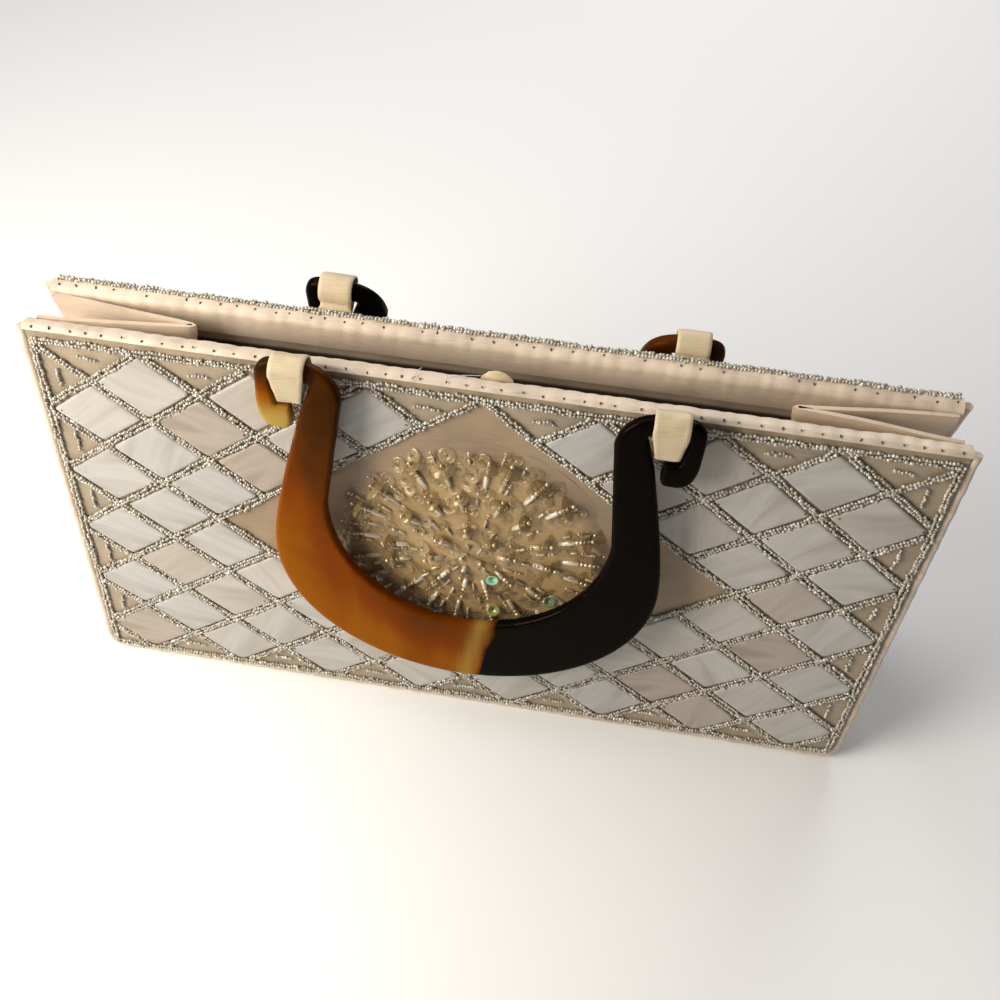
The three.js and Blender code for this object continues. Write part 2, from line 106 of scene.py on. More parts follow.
HANDLE_THICKNESS = 4
HANDLE_OUT = 7.6
HANDLE_ROUNDING = 1.4
HANDLE_SWING = math.radians(2)
BAR_HALF = 3.2

TAB_REACH = 55
TAB_HOLE = 4
TAB_FOOT_HOLE = 0.85
TAB_FOOT_DROP = 9.4
TAB_FOOT_OUT = 0.3
TAB_WALL = 0.9
TAB_WIDTH = 10.4
TAB_SEAM_WIDTH = 13.5
TAB_FOOT_WIDTH = 7
TAB_FOOT_ASIDE = 0.6

DOME_RADIUS = 5.5
DOME_RISE = 2
DOME_X = 3.5
DOME_UP = 145

# What differs between the two panels; flip turns a place half round the upright axis
FRONT = Side(
    label="front", flip=1, seed=100, lattice_top=143.5, rim_face=GAP + RIM_WALL, rim_edge=147.3,
    bar_up=149.3, seam_up=145.8, shift=0, tilt=math.radians(0.9),
)
BACK = Side(
    label="back", flip=-1, seed=200, lattice_top=144.5, rim_face=GAP, rim_edge=PANEL_HEIGHT + GAP,
    bar_up=149, seam_up=146.8, shift=-5, tilt=math.radians(-2.5),
)

# Camera of the photograph, with the roll in degrees
CAMERA_PLACE = (29.75, -214.9, 349.95)
CAMERA_AIM = (5.57, 1.44, 80)
CAMERA_ROLL = 3.25
CAMERA_LENS = 35.73


# Places and numbers


def to_world(side, places):
    """Panel places (across, up the panel, outwards) to the bag's frame."""
    x, up, out = np.asarray(places, float).reshape(-1, 3).T
    y = -BASE_DEPTH / 2 - out * math.cos(LEAN) + up * math.sin(LEAN)
    z = PANEL_LIFT + out * math.sin(LEAN) + up * math.cos(LEAN)
    return np.stack([x * side.flip, y * side.flip, z], axis=1)


def stacked(*axes):
    """Places from their coordinates, which spread over one another."""
    return np.stack(np.broadcast_arrays(*axes), axis=-1)


def unit(vectors):
    return vectors / np.linalg.norm(vectors, axis=-1, keepdims=True)


def turns_of(count):
    """Angles of even steps round a full turn."""
    return np.arange(count) * FULL_TURN / count


RIPPLE_WAVES = 7


def ripples(places, wavelength, seed):
    """Smooth seeded unevenness of about -1 to 1 over places."""
    draw = np.random.default_rng(seed)
    places = np.asarray(places, float)
    total = np.zeros(places.shape[:-1])
    for _ in range(RIPPLE_WAVES):
        direction = unit(draw.normal(size=places.shape[-1]))
        length = wavelength * draw.uniform(0.7, 1.5)
        phase = draw.uniform(0, FULL_TURN)
        total += np.sin(places @ direction * FULL_TURN / length + phase)
    return total / math.sqrt(RIPPLE_WAVES)


def smoothstep(low, high, value):
    share = np.clip((np.asarray(value, float) - low) / (high - low), 0, 1)
    return share * share * (3 - 2 * share)


def bezier(controls, steps):
    """Points along a Bezier curve, without its first point."""
    points = np.repeat(np.asarray(controls, float)[None], steps, axis=0)
    share = np.linspace(0, 1, steps + 1)[1:, None, None]
    while points.shape[1] > 1:
        points = points[:, :-1] * (1 - share) + points[:, 1:] * share
    return points[:, 0]


def arc(centre, radii, start, end, steps):
    """Points along an arc of a circle or, with two radii, of an ellipse, without its first point."""
    turn = np.linspace(start, end, steps + 1)[1:]
    return np.asarray(centre) + np.stack([np.cos(turn), np.sin(turn)], axis=1) * radii


def lengths_along(line):
    """How far along a line each of its points lies."""
    return np.concatenate([[0], np.cumsum(np.linalg.norm(np.diff(line, axis=0), axis=1))])


# Meshes


def add_object(name, data):
    made = bpy.data.objects.new(name, data)
    bpy.context.scene.collection.objects.link(made)
    return made


def piece(side, name, places, faces, look, slot=None, node=None, sharp=None, body="bag", **points):
    """One visible piece, which stands for a node of the frame if one is named. With a side, the places are
    panel places and both names begin with the panel's; without, they are in the bag's frame. Edges are sharp
    above an angle in degrees. points are values kept on the mesh's points."""
    points = {"place": places, **points}
    if side:
        name, node = (label and f"{side.label}_{label}" for label in (name, node))
        places = to_world(side, places)
    mesh = bpy.data.meshes.new(name)
    mesh.from_pydata((np.asarray(places) * MM).tolist(), [], faces)
    if sharp:
        shape = bmesh.new()
        shape.from_mesh(mesh)
        bmesh.ops.recalc_face_normals(shape, faces=shape.faces)
        shape.to_mesh(mesh)
        shape.free()
    mesh.polygons.foreach_set("use_smooth", np.ones(len(mesh.polygons), bool))
    if sharp:
        mesh.set_sharp_from_angle(angle=math.radians(sharp))
    for label, values in points.items():
        values = np.asarray(values, np.float32)
        kind, key = ("FLOAT_VECTOR", "vector") if values.ndim > 1 else ("FLOAT", "value")
        mesh.attributes.new(label, kind, "POINT").data.foreach_set(key, values.ravel())
    mesh.materials.append(look)
    made = add_object(name, mesh)
    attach(made, body)
    if node:
        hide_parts(node)
    return made


def grid_quads(index):
    """Quads of a grid of point numbers, counter-clockwise where columns run right and rows run up."""
    corners = [index[:-1, :-1], index[:-1, 1:], index[1:, 1:], index[1:, :-1]]
    return np.stack(corners, axis=-1).reshape(-1, 4)


def slab(outer, inner):
    """Closed sheet between two grids of places with the same rows and columns."""
    rows, columns = outer.shape[:2]
    count = rows * columns
    top = np.arange(count).reshape(rows, columns)
    around = np.concatenate([top[0, :-1], top[:-1, -1], top[-1, :0:-1], top[:0:-1, 0]])
    onward = np.roll(around, -1)
    walls = np.stack([around, around + count, onward + count, onward], axis=1)
    quads = np.concatenate([grid_quads(top), grid_quads(top + count)[:, ::-1], walls])
    return np.concatenate([outer.reshape(-1, 3), inner.reshape(-1, 3)]), quads.tolist()


def ring_numbers(rings):
    """Point numbers of closed rings, with each ring's first point again at its end."""
    index = np.arange(rings.shape[0] * rings.shape[1]).reshape(rings.shape[:2])
    return np.concatenate([index, index[:, :1]], axis=1)


def loft(rings):
    """Closed body through closed rings of places, with flat ends."""
    index = ring_numbers(rings)
    ends = [index[0, -2::-1].tolist(), index[-1, :-1].tolist()]
    return rings.reshape(-1, 3), grid_quads(index).tolist() + ends


def lathe(profile, sides):
    """Rings of places of a profile of (radius, height) turned round its axis."""
    turn = turns_of(sides)
    radius, height = np.asarray(profile, float).T[..., None]
    return stacked(radius * np.cos(turn), radius * np.sin(turn), height)


def closed_lathe(profile, sides):
    """Body of a profile that closes on itself."""
    rings = lathe(profile, sides)
    index = ring_numbers(rings)
    return rings.reshape(-1, 3), grid_quads(np.concatenate([index, index[:1]])).tolist()


def join(parts):
    """Places and faces of several bodies in one."""
    starts = np.cumsum([0, *(len(places) for places, _ in parts)]).tolist()
    faces = [[i + start for i in face] for start, (_, faces) in zip(starts, parts) for face in faces]
    return np.concatenate([places for places, _ in parts]), faces


def frames_along(directions):
    """Turns that take the template's third axis along each direction."""
    along = unit(np.asarray(directions, float))
    helper = np.where(np.abs(along[:, 2:3]) < 0.9, [[0.0, 0.0, 1.0]], [[1.0, 0.0, 0.0]])
    across = unit(np.cross(helper, along))
    return np.stack([across, np.cross(along, across), along], axis=2)


def copies(side, name, template, centres, directions, sizes, look, slot=None, node=None, **tones):
    """A piece of joined copies of a template; tones are values of whole copies."""
    shape, faces = template
    scaled = shape * np.asarray(sizes, float)[:, None]
    turned = np.einsum("cij,cpj->cpi", frames_along(directions), scaled)
    placed = turned + np.asarray(centres, float)[:, None]
    points = {label: np.repeat(values, len(shape)) for label, values in tones.items()}
    return piece(side, name, *join([(places, faces) for places in placed]), look, slot, node, **points)


# Looks


class Look:
    """A material and the nodes that feed its shader."""

    def __init__(self, name, sockets):
        self.material = bpy.data.materials.new(name)
        self.material.use_nodes = True
        self.tree = self.material.node_tree
        self.shader = self.tree.nodes["Principled BSDF"]
        for socket, value in sockets.items():
            self.feed(socket, value)

    def add(self, kind, inputs, output=0, **settings):
        """Output of a new node."""
        made = self.tree.nodes.new(kind)
        for key, value in settings.items():
            setattr(made, key, value)
        for socket, value in inputs.items():
            self.set(made.inputs[socket], value)
        return made.outputs[output]

    def set(self, socket, value):
        if isinstance(value, bpy.types.NodeSocket):
            self.tree.links.new(value, socket)
        else:
            socket.default_value = value

    def feed(self, socket, value):
        self.set(self.shader.inputs[socket], value)

    def value(self, label):
        return self.add("ShaderNodeAttribute", {}, "Fac", attribute_name=label)

    def place(self, stretch=(1, 1, 1)):
        """Places in mm kept on the piece, stretched along each axis."""
        return self.stretched(self.add("ShaderNodeAttribute", {}, "Vector", attribute_name="place"), stretch)

    def object_place(self, stretch=(1, 1, 1)):
        """Places in mm on a node that comes from the frame."""
        return self.stretched(self.add("ShaderNodeTexCoord", {}, "Object"), tuple(s / MM for s in stretch))

    def stretched(self, vector, stretch):
        return self.add("ShaderNodeVectorMath", {0: vector, 1: stretch}, operation="MULTIPLY")

    def noise(self, vector, wavelength, detail, distortion=0.0, seed=None):
        """Cloudy values of about 0 to 1 with features of a size in mm."""
        inputs = {"Scale": 1 / wavelength, "Detail": detail, "Distortion": distortion, "Vector": vector}
        if seed is None:
            return self.add("ShaderNodeTexNoise", inputs)
        return self.add("ShaderNodeTexNoise", {**inputs, "W": seed}, noise_dimensions="4D")

    def turned_in(self, heights, sides):
        """0 inside the bag, where the lining carries a painted shade, to 1 near its top and its sides, on a
        node that comes from the frame; heights and sides are in mm."""
        place = self.object_place()
        up, x = (self.add("ShaderNodeSeparateXYZ", {0: place}, axis) for axis in "ZX")
        across = self.sums(x, 0.0, "ABSOLUTE")
        shares = [
            self.add("ShaderNodeMapRange", {"Value": value, "From Min": low, "From Max": high})
            for value, (low, high) in ((up, heights), (across, sides))
        ]
        return self.sums(*shares, "MAXIMUM")

    def sums(self, first, second, operation="ADD"):
        return self.add("ShaderNodeMath", {0: first, 1: second}, operation=operation)

    def ramp(self, value, stops):
        """Colours along a value: stops are (place, colour), where the colour may be one level of grey."""
        made = self.add("ShaderNodeValToRGB", {"Fac": value}, "Color")
        band = made.node.color_ramp.elements
        while len(band) < len(stops):
            band.new(0.5)
        for element, (place, colour) in zip(band, stops):
            element.position = place
            element.color = (*np.broadcast_to(colour, 3), 1)
        return made

    def mixed(self, share, first, second, blend="MIX"):
        colours = ((*value, 1) if isinstance(value, tuple) else value for value in (first, second))
        inputs = dict(zip((0, 6, 7), (share, *colours)))
        return self.add("ShaderNodeMix", inputs, 2, data_type="RGBA", blend_type=blend)

    def spread(self, value, low, high):
        """A value of 0 to 1 spread from low to high."""
        return self.add("ShaderNodeMapRange", {"Value": value, "To Min": low, "To Max": high})

    def relief(self, height, distance, strength, under=None):
        """Bump of a height field, with the distance in mm, over another bump if one is given."""
        inputs = {"Height": height, "Distance": distance * MM, "Strength": strength}
        if under:
            inputs["Normal"] = under
        return self.add("ShaderNodeBump", inputs, "Normal")


def shade(colour, factor):
    return tuple(channel * factor for channel in colour)


SATIN_SHEEN = {
    "Sheen Weight": 0.3, "Sheen Roughness": 0.35, "Sheen Tint": (1, 0.93, 0.84, 1),
    "Specular IOR Level": 0.4, "Anisotropic": 0.4,
}
SATIN_DEPTHS = [(0.2, 0.63), (0.5, 0.85), (0.85, 1)]
# Lightest threads of a satin over its own colour
SATIN_LIGHT = 1.18


def satin(name, colour, other=None, gloss=0.42, grain=1.0, on_frame=False, turned=None):
    """Satin with a fine float weave, slubs and soft clouds of tone. Where a second colour is given, the
    point value named other says how much of it shows, or where it is turned in; on the lining the first
    colour is a painted shade for the dark inside of the bag."""
    look = Look(name, SATIN_SHEEN)
    place = look.object_place if on_frame else look.place
    clouds = look.noise(place(), 22, 2)
    slubs = look.noise(place((0.12 / grain, 1.6 / grain, 0.12 / grain)), 1.0, 2)
    tone = look.sums(look.spread(clouds, -0.5, 0.5), look.spread(slubs, 0.2, 0.8))
    cloth = shade(colour, SATIN_LIGHT)
    if other:
        share = look.turned_in(*turned) if turned else look.value("other")
        cloth = look.mixed(share, cloth, shade(other, SATIN_LIGHT))
    look.feed("Base Color", look.mixed(1.0, cloth, look.ramp(tone, SATIN_DEPTHS), "MULTIPLY"))
    look.feed("Roughness", look.spread(slubs, gloss - 0.1, gloss + 0.14))
    floats = look.noise(place((0.5 / grain, 4.5 / grain, 0.5 / grain)), 1.0, 1)
    creases = look.relief(look.noise(place(), 6, 2, 0.6), 0.5, 0.3)
    look.feed("Normal", look.relief(floats, 0.12 * grain, 0.5, creases))
    return look.material


PEARL_STREAKS = [
    (0.3, (0.40, 0.37, 0.335)), (0.44, (0.465, 0.44, 0.41)), (0.58, (0.52, 0.50, 0.475)),
    (0.72, (0.445, 0.435, 0.43)),
]
PEARL_TINTS = [
    (0.0, (0.78, 0.67, 0.57)), (0.13, (0.86, 0.77, 0.68)), (0.2, (0.98, 0.94, 0.88)),
    (0.65, (1.0, 0.98, 0.93)), (1.0, (0.93, 0.93, 0.93)),
]


def pearl(name):
    """Pearl tiles: plates with silky streaks, each with its own tone and streak direction."""
    look = Look(name, {"Coat Weight": 0.2, "Coat Roughness": 0.2, "Specular IOR Level": 0.45})
    tone = look.value("tone")
    seed = look.sums(tone, 40.0, "MULTIPLY")
    streaks = look.noise(look.place((0.3, 1.4, 1)), 9, 2, 0.5, seed)
    veins = look.noise(look.place((0.2, 2.4, 1)), 4, 2, 0.4, seed)
    body = look.mixed(1.0, look.ramp(streaks, PEARL_STREAKS), look.ramp(tone, PEARL_TINTS), "MULTIPLY")
    silky = look.ramp(veins, [(0.3, 0.94), (0.65, 1)])
    look.feed("Base Color", look.mixed(1.0, body, silky, "MULTIPLY"))
    look.feed("Roughness", look.spread(veins, 0.28, 0.5))
    look.feed("Normal", look.relief(veins, 0.1, 0.15))
    return look.material


def toned(name, stops, sockets, grain, roughness):
    """Small elements, each with a tone of its own, whose roughness has a grain of a size in mm."""
    look = Look(name, sockets)
    look.feed("Base Color", look.ramp(look.value("tone"), stops))
    look.feed("Roughness", look.spread(look.noise(look.place(), grain, 1), *roughness))
    return look.material


def bead_glass(name, stops, roughness, metallic, coat=0.8):
    """Lined glass beads."""
    sockets = {"Metallic": metallic, "Coat Weight": coat, "Coat Roughness": 0.06, "Specular IOR Level": 0.7}
    return toned(name, stops, sockets, 0.5, (roughness, roughness + 0.15))


def sequin_film(name, stops, alpha, metallic=0.15):
    """Clear sequins with a thin rainbow film."""
    sockets = {"Metallic": metallic, "Alpha": alpha, "Coat Weight": 0.7, "Coat Roughness": 0.08}
    sockets |= {"Thin Film Thickness": 420, "Thin Film IOR": 1.5}
    return toned(name, stops, sockets, 0.9, (0.1, 0.3))


SHELL_TONES = [
    (0.08, (0.025, 0.008, 0.0008)), (0.32, (0.09, 0.022, 0.001)), (0.58, (0.17, 0.034, 0.0005)),
    (0.85, (0.27, 0.078, 0.001)),
]
SHELL_GLOW = (0.40, 0.27, 0.06)
SHELL_BLACK = (0.0015, 0.0012, 0.001)


def tortoiseshell(name):
    """Moulded tortoiseshell: amber to brown on one arm, black on the other, with a soft streaked border."""
    look = Look(name, {"Coat Roughness": 0.12, "Specular Tint": (1, 0.55, 0.15, 1)})
    swirl = look.spread(look.noise(look.place((1, 0.6, 1)), 26, 2, 1.0), -0.3, 0.3)
    shell = look.ramp(look.sums(look.value("warmth"), swirl), SHELL_TONES)
    streak = look.spread(look.noise(look.place((1, 0.25, 1)), 7, 3, 0.5), -0.3, 0.3)
    black = look.ramp(look.sums(look.value("black"), streak), [(0.4, 0), (0.6, 1)])
    look.feed("Base Color", look.mixed(black, look.mixed(look.value("glow"), shell, SHELL_GLOW), SHELL_BLACK))
    look.feed("Specular IOR Level", look.spread(black, 0.05, 0.035))
    look.feed("Coat Weight", look.spread(black, 0.02, 0.03))
    look.feed("Roughness", look.spread(look.noise(look.place(), 3.5, 3), 0.22, 0.4))
    look.feed("Normal", look.relief(look.noise(look.place(), 14, 2), 0.4, 0.15))
    return look.material


def thread(name, colour):
    """Twisted sewing thread."""
    look = Look(name, {"Sheen Weight": 0.3})
    twist = look.noise(look.place(), 0.4, 1)
    look.feed("Base Color", look.ramp(twist, [(0.3, shade(colour, 0.6)), (0.7, colour)]))
    look.feed("Roughness", look.spread(twist, 0.5, 0.8))
    return look.material


TAUPE = (0.36, 0.285, 0.20)
BLUSH = (0.33, 0.235, 0.15)
GOLDEN = (0.42, 0.28, 0.125)
SATIN_FACE = satin("satin_face", TAUPE, BLUSH)
SATIN_MOUND = satin("champagne_satin", GOLDEN, BLUSH, gloss=0.36)
SATIN_RIM = satin("satin_rim", (0.70, 0.57, 0.445), gloss=0.4, grain=0.6)
SATIN_TAB = satin("satin_tab", (0.60, 0.48, 0.31), gloss=0.38, grain=0.5)
SATIN_GUSSET = satin("satin_gusset", (0.60, 0.47, 0.345), gloss=0.4)
SATIN_BASE = satin("satin_base", (0.60, 0.48, 0.37), on_frame=True)
# Where the lining turns to light satin: heights, and distances from the middle. Below and inside these the
# lining is a painted shade, near black, for the shade deep in the bag
TURNED_IN = ((130, 131.5), (134, 136))
# Painted shade: near-black colour that stands for the shade deep inside the bag, not the lining's own colour
LINING_PAINTED_SHADE = (0.05, 0.035, 0.025)
LINING = satin("lining_satin_painted_shade", LINING_PAINTED_SHADE, (0.6, 0.47, 0.35), gloss=0.6, on_frame=True, turned=TURNED_IN)
PEARL = pearl("pearl_tile")
# Tones of the silver-lined beads, which differ from bead to bead; the top stop, near white, is a painted
# glint on the beads with the highest tones
SILVER_TONES_AND_PAINTED_GLINTS = [
    (0.0, (0.28, 0.24, 0.185)), (0.25, (0.40, 0.36, 0.29)), (0.65, (0.51, 0.47, 0.39)),
    (0.92, (0.62, 0.58, 0.50)), (1.0, (0.92, 0.90, 0.83)),
]
GOLD_TONES = [(0.0, (0.32, 0.21, 0.08)), (0.5, (0.52, 0.38, 0.19)), (1.0, (0.82, 0.72, 0.52))]
MILKY_TONES = [(0.0, (0.38, 0.28, 0.15)), (0.6, (0.52, 0.42, 0.28)), (1.0, (0.70, 0.62, 0.50))]
BROWN_TONES = [(0.0, (0.20, 0.11, 0.03)), (0.6, (0.34, 0.22, 0.08)), (1.0, (0.48, 0.35, 0.18))]
# Green of the glinting sequins: a painted reflection of green light, set in their base colour
PAINTED_GREEN_GLINT_TONES = [(0.0, (0.38, 0.74, 0.48)), (1.0, (0.62, 0.66, 0.24))]
CLEAR_TONES = [(0.0, (0.40, 0.27, 0.11)), (1.0, (0.60, 0.45, 0.25))]
SILVER_BEAD = bead_glass("silver_bead", SILVER_TONES_AND_PAINTED_GLINTS, 0.2, 0.15, 0.4)
GOLD_BEAD = bead_glass("champagne_bead", GOLD_TONES, 0.06, 0.5)
MILKY_BEAD = bead_glass("milky_bead", MILKY_TONES, 0.12, 0.1, 0.6)
BROWN_SEQUIN = sequin_film("sequin_film", BROWN_TONES, 0.42)
CLEAR_SEQUIN = sequin_film("clear_sequin_film", CLEAR_TONES, 0.3)
PAINTED_GREEN_GLINT_SEQUIN = sequin_film("painted_green_glint_film", PAINTED_GREEN_GLINT_TONES, 0.85, 0.4)
TORTOISESHELL = tortoiseshell("tortoiseshell")
DARK_THREAD = thread("dark_thread", (0.06, 0.045, 0.035))
WHITE_THREAD = thread("white_thread", (0.85, 0.83, 0.78))

# Templates for what repeats, from profiles of (radius, height)
BEAD = loft(lathe([(0.62, -0.5), (1.0, 0), (0.62, 0.5)], 7))
SMOOTH_BEAD = loft(lathe([(0.5, -0.5), (0.95, -0.26), (0.95, 0.26), (0.5, 0.5)], 10))
BUGLE = loft(lathe([(0.6, -0.5), (1.0, -0.42), (1.0, 0.42), (0.6, 0.5)], 8))
STITCH = loft(lathe([(0.45, -0.5), (1.0, -0.3), (1.0, 0.3), (0.45, 0.5)], 6))
CUP_OUTSIDE = [(0.16, -0.02), (0.55, 0.05), (0.97, 0.3), (1.0, 0.34)]
CUP_INSIDE = [(0.95, 0.36), (0.53, 0.11), (0.16, 0.04)]
CUP_SEQUIN = closed_lathe(CUP_OUTSIDE + CUP_INSIDE, 14)
FLAT_SEQUIN = closed_lathe([(0.15, -0.02), (0.97, -0.04), (1.0, 0.0), (0.97, 0.03), (0.15, 0.03)], 12)


# Satin faces and pearl tiles

GROOVE_DEPTH = 0.3
GROOVE_WIDTH = 1.8
FACE_SOFTNESS = 0.08
FACE_GATHERS = 0.16


def lattice_places(side, x, up):
    """Places counted along the two directions of the lattice's lines, which lie at even numbers."""
    across = np.asarray(x) / CELL_WIDTH
    down = (side.lattice_top - np.asarray(up)) / CELL_HEIGHT
    return across + down, across - down


def in_diamond(rising, falling):
    """How far inside the bare middle lozenge a place lies, in counts of the lattice."""
    return np.minimum.reduce([rising, 2 * DIAMOND - rising, -falling, falling + 2 * DIAMOND])


def face_relief(side, x, up):
    """How far the satin stands out: grooves under the strings, soft pads between them."""
    lines = np.stack(lattice_places(side, x, up))
    off = np.abs(lines - 2 * np.round(lines / 2)) * CELL_INRADIUS
    grooves = np.exp(-((off / GROOVE_WIDTH) ** 2)).max(axis=0)
    grooves = np.where(in_diamond(*lines) > 0, 0, grooves)
    gathers = ripples(stacked(x, up * 0.25), 7, side.seed + 1)
    near_rim = smoothstep(side.lattice_top - 4, side.lattice_top + 2, up)
    soft = ripples(stacked(x, up), 26, side.seed + 2)
    return -GROOVE_DEPTH * grooves + FACE_SOFTNESS * soft + FACE_GATHERS * near_rim * gathers


def satin_face(side):
    up = np.linspace(PANEL_BOTTOM, PANEL_HEIGHT, 84)[:, None]
    low = np.clip(PANEL_CORNER - (up - PANEL_BOTTOM), 0, PANEL_CORNER)
    half_width = PANEL_HALF_WIDTH - PANEL_CORNER + np.sqrt(PANEL_CORNER**2 - low**2)
    x = np.linspace(-1, 1, 150) * half_width
    places, faces = slab(stacked(x, up, face_relief(side, x, up)), stacked(x, up, -CLOTH))
    lozenge = smoothstep(-0.05, 0.1, in_diamond(*lattice_places(side, places[:, 0], places[:, 1])))
    made = piece(side, "satin_face", places, faces, SATIN_FACE, "satin", "tile_field", 50, other=lozenge)


# Whole cells of the lattice outside the bare middle lozenge, as (column, row)
TILE_CELLS = [
    (column, row)
    for row in range(1, ROWS)
    for column in range(1 - COLUMNS, COLUMNS)
    if (row + column) % 2 and abs(column) + abs(row - DIAMOND) >= DIAMOND
]
# Share of a tile's side that its rounded corner takes, and how far off its cut corners may be
TILE_ROUNDING = 0.07
TILE_CUT = 0.22
# Steps of a tile's edge from its seat to its middle: (share drawn in, height)
TILE_STEPS = [(0.0, -0.3), (0.0, 0.45), (0.025, 0.72), (0.07, 0.88), (0.14, 0.9), (0.4, 0.84), (0.75, 0.8)]
# Stitches of the tiles: how far from the cell's corner, share left out, size
STITCH_FROM_CORNER = 4.6
STITCHES_MISSING = 0.25
TILE_STITCH = [0.24, 0.24, 0.85]


def cell_middle(side, column, row):
    return np.array([column * CELL_WIDTH, side.lattice_top - row * CELL_HEIGHT])


def tile_outline(side, middle, draw):
    """Rounded outline of a hand-cut tile, kept inside the bead border."""
    inset = TILE_INSET + draw.uniform(-0.15, 0.25)
    reach = np.array([CELL_WIDTH, CELL_HEIGHT]) * ((CELL_INRADIUS - inset) / CELL_INRADIUS)
    corners = np.array([[1, 0], [0, 1], [-1, 0], [0, -1]]) * reach + draw.normal(0, TILE_CUT, (4, 2))
    outline = []
    for corner, before, after in zip(corners, np.roll(corners, 1, axis=0), np.roll(corners, -1, axis=0)):
        start = corner + (before - corner) * TILE_ROUNDING
        end = corner + (after - corner) * TILE_ROUNDING
        onward = after + (corner - after) * TILE_ROUNDING
        outline += [start, *bezier([start, corner, end], 3)]
        outline += [end + (onward - end) * share for share in (0.2, 0.4, 0.6, 0.8)]
    clear = BORDER + 0.4
    edge = FIELD_HALF_WIDTH - clear
    top = side.lattice_top + TOP_MARGIN - clear
    bottom = side.lattice_top + TOP_MARGIN - FIELD_HEIGHT + clear
    return np.clip(np.array(outline) + middle, [-edge, bottom], [edge, top])


def pearl_tiles(side):
    draw = np.random.default_rng(side.seed + 3)
    parts, grains, tones = [], [], []
    for column, row in TILE_CELLS:
        middle = cell_middle(side, column, row)
        outline = tile_outline(side, middle, draw)
        tilt = draw.normal(0, 0.006, 2)
        rings = []
        for inset, height in TILE_STEPS:
            flat = outline + (middle - outline) * inset
            lift = height + (flat - middle) @ tilt * (height > 0)
            rings.append(np.column_stack([flat, lift]))
        places, faces = loft(np.array(rings))
        turn = draw.normal(0.5, 0.6)
        turned = np.array([[math.cos(turn), -math.sin(turn)], [math.sin(turn), math.cos(turn)]])
        grains.append(np.column_stack([(places[:, :2] - middle) @ turned, places[:, 2]]))
        parts.append((places, faces))
        tones += [draw.uniform()] * len(places)
    points = {"place": np.concatenate(grains), "tone": tones}
    piece(side, "pearl_tiles", *join(parts), PEARL, "pearl_tile", "tile_field", 60, **points)


def tile_stitches(side):
    """Small dark stitches that hold each tile near its side corners."""
    draw = np.random.default_rng(side.seed + 4)
    centres, directions = [], []
    for column, row in TILE_CELLS:
        for way in (-1, 1):
            if draw.uniform() < STITCHES_MISSING:
                continue
            aside = way * (CELL_WIDTH - STITCH_FROM_CORNER + draw.normal(0, 0.5))
            spot = cell_middle(side, column, row) + [aside, draw.normal(0, 0.7)]
            centres.append([*spot, TILE_TOP])
            directions.append([draw.normal(), draw.normal(), 0.1])
    sizes = [TILE_STITCH] * len(centres)
    copies(side, "tile_stitches", STITCH, centres, directions, sizes, DARK_THREAD)


# Strings of seed beads

BEAD_SIZE = np.array([0.6, 0.6, 1.0])
BEAD_PITCH = 1.06
STRINGS_APART = 1.25
STRING_HEIGHT = 0.6
# How far a hand-sewn string wanders, and how much its beads are scattered
STRING_WANDER = 0.24
SCATTER_ASIDE = 0.2
SCATTER_ALONG = 0.1
SCATTER_UP = 0.12
SCATTER_TURN = (0.3, 0.2)
# Numbers of lattice lines that may cross the field, and the shortest stretch worth a string
LINE_NUMBERS = range(-20, 22, 2)
SHORTEST_LINE = 0.15
# Strings along the back binding's outer edge: (up, outwards)
BACK_EDGE_STRINGS = [(RIM_TOP - 1.6, 1.1), (RIM_TOP - 0.2, 0.75), (RIM_TOP + 0.35, -0.5)]


def string_of_beads(start, end, draw, offset=0.0, bow=0.0):
    """Centres and directions of beads along a hand-sewn string between two places (across, up)."""
    start, end = np.asarray(start, float), np.asarray(end, float)
    length = np.linalg.norm(end - start)
    along = (end - start) / length
    count = max(2, int(round(length / BEAD_PITCH)))
    at = (np.arange(count) + 0.5) / count
    wander = STRING_WANDER * np.sin(at * length / draw.uniform(3, 8) + draw.uniform(0, 6.28))
    sideways = offset + wander + draw.normal(0, SCATTER_ASIDE, count) + bow * np.sin(at * math.pi)
    onward = at * length + draw.normal(0, SCATTER_ALONG, count)
    spots = start + onward[:, None] * along + sideways[:, None] * [-along[1], along[0]]
    height = STRING_HEIGHT + draw.normal(0, SCATTER_UP, count)
    directions = along + draw.normal(0, SCATTER_TURN[0], (count, 2))
    tilts = draw.normal(0, SCATTER_TURN[1], count)
    return np.column_stack([spots, height]), np.column_stack([directions, tilts])


def clipped_line(way, number):
    """How far across one lattice line starts and ends inside the bead border; way is 1 for rising lines."""
    edge = (FIELD_HALF_WIDTH - BORDER) / CELL_WIDTH
    low = (BORDER - TOP_MARGIN) / CELL_HEIGHT
    high = (FIELD_HEIGHT - TOP_MARGIN - BORDER) / CELL_HEIGHT
    first, last = sorted(number - way * down for down in (low, high))
    return max(-edge, first), min(edge, last)


def lattice_lines(way, side):
    """Stretches of the lattice's lines of one direction, outside the bare middle lozenge."""
    stretches = []
    for number in LINE_NUMBERS:
        first, last = clipped_line(way, number)
        if last - first < SHORTEST_LINE:
            continue
        crossing = []
        if 0 < way * number < 2 * DIAMOND:
            # the other direction's numbers at the lozenge's edges
            crossing = sorted((number + bound) / 2 for bound in (-2 * DIAMOND * way, 0))
        ends = [
            (across * CELL_WIDTH, side.lattice_top - way * (number - across) * CELL_HEIGHT)
            for across in (first, *crossing, last)
        ]
        stretches += zip(ends[::2], ends[1::2])
    return stretches


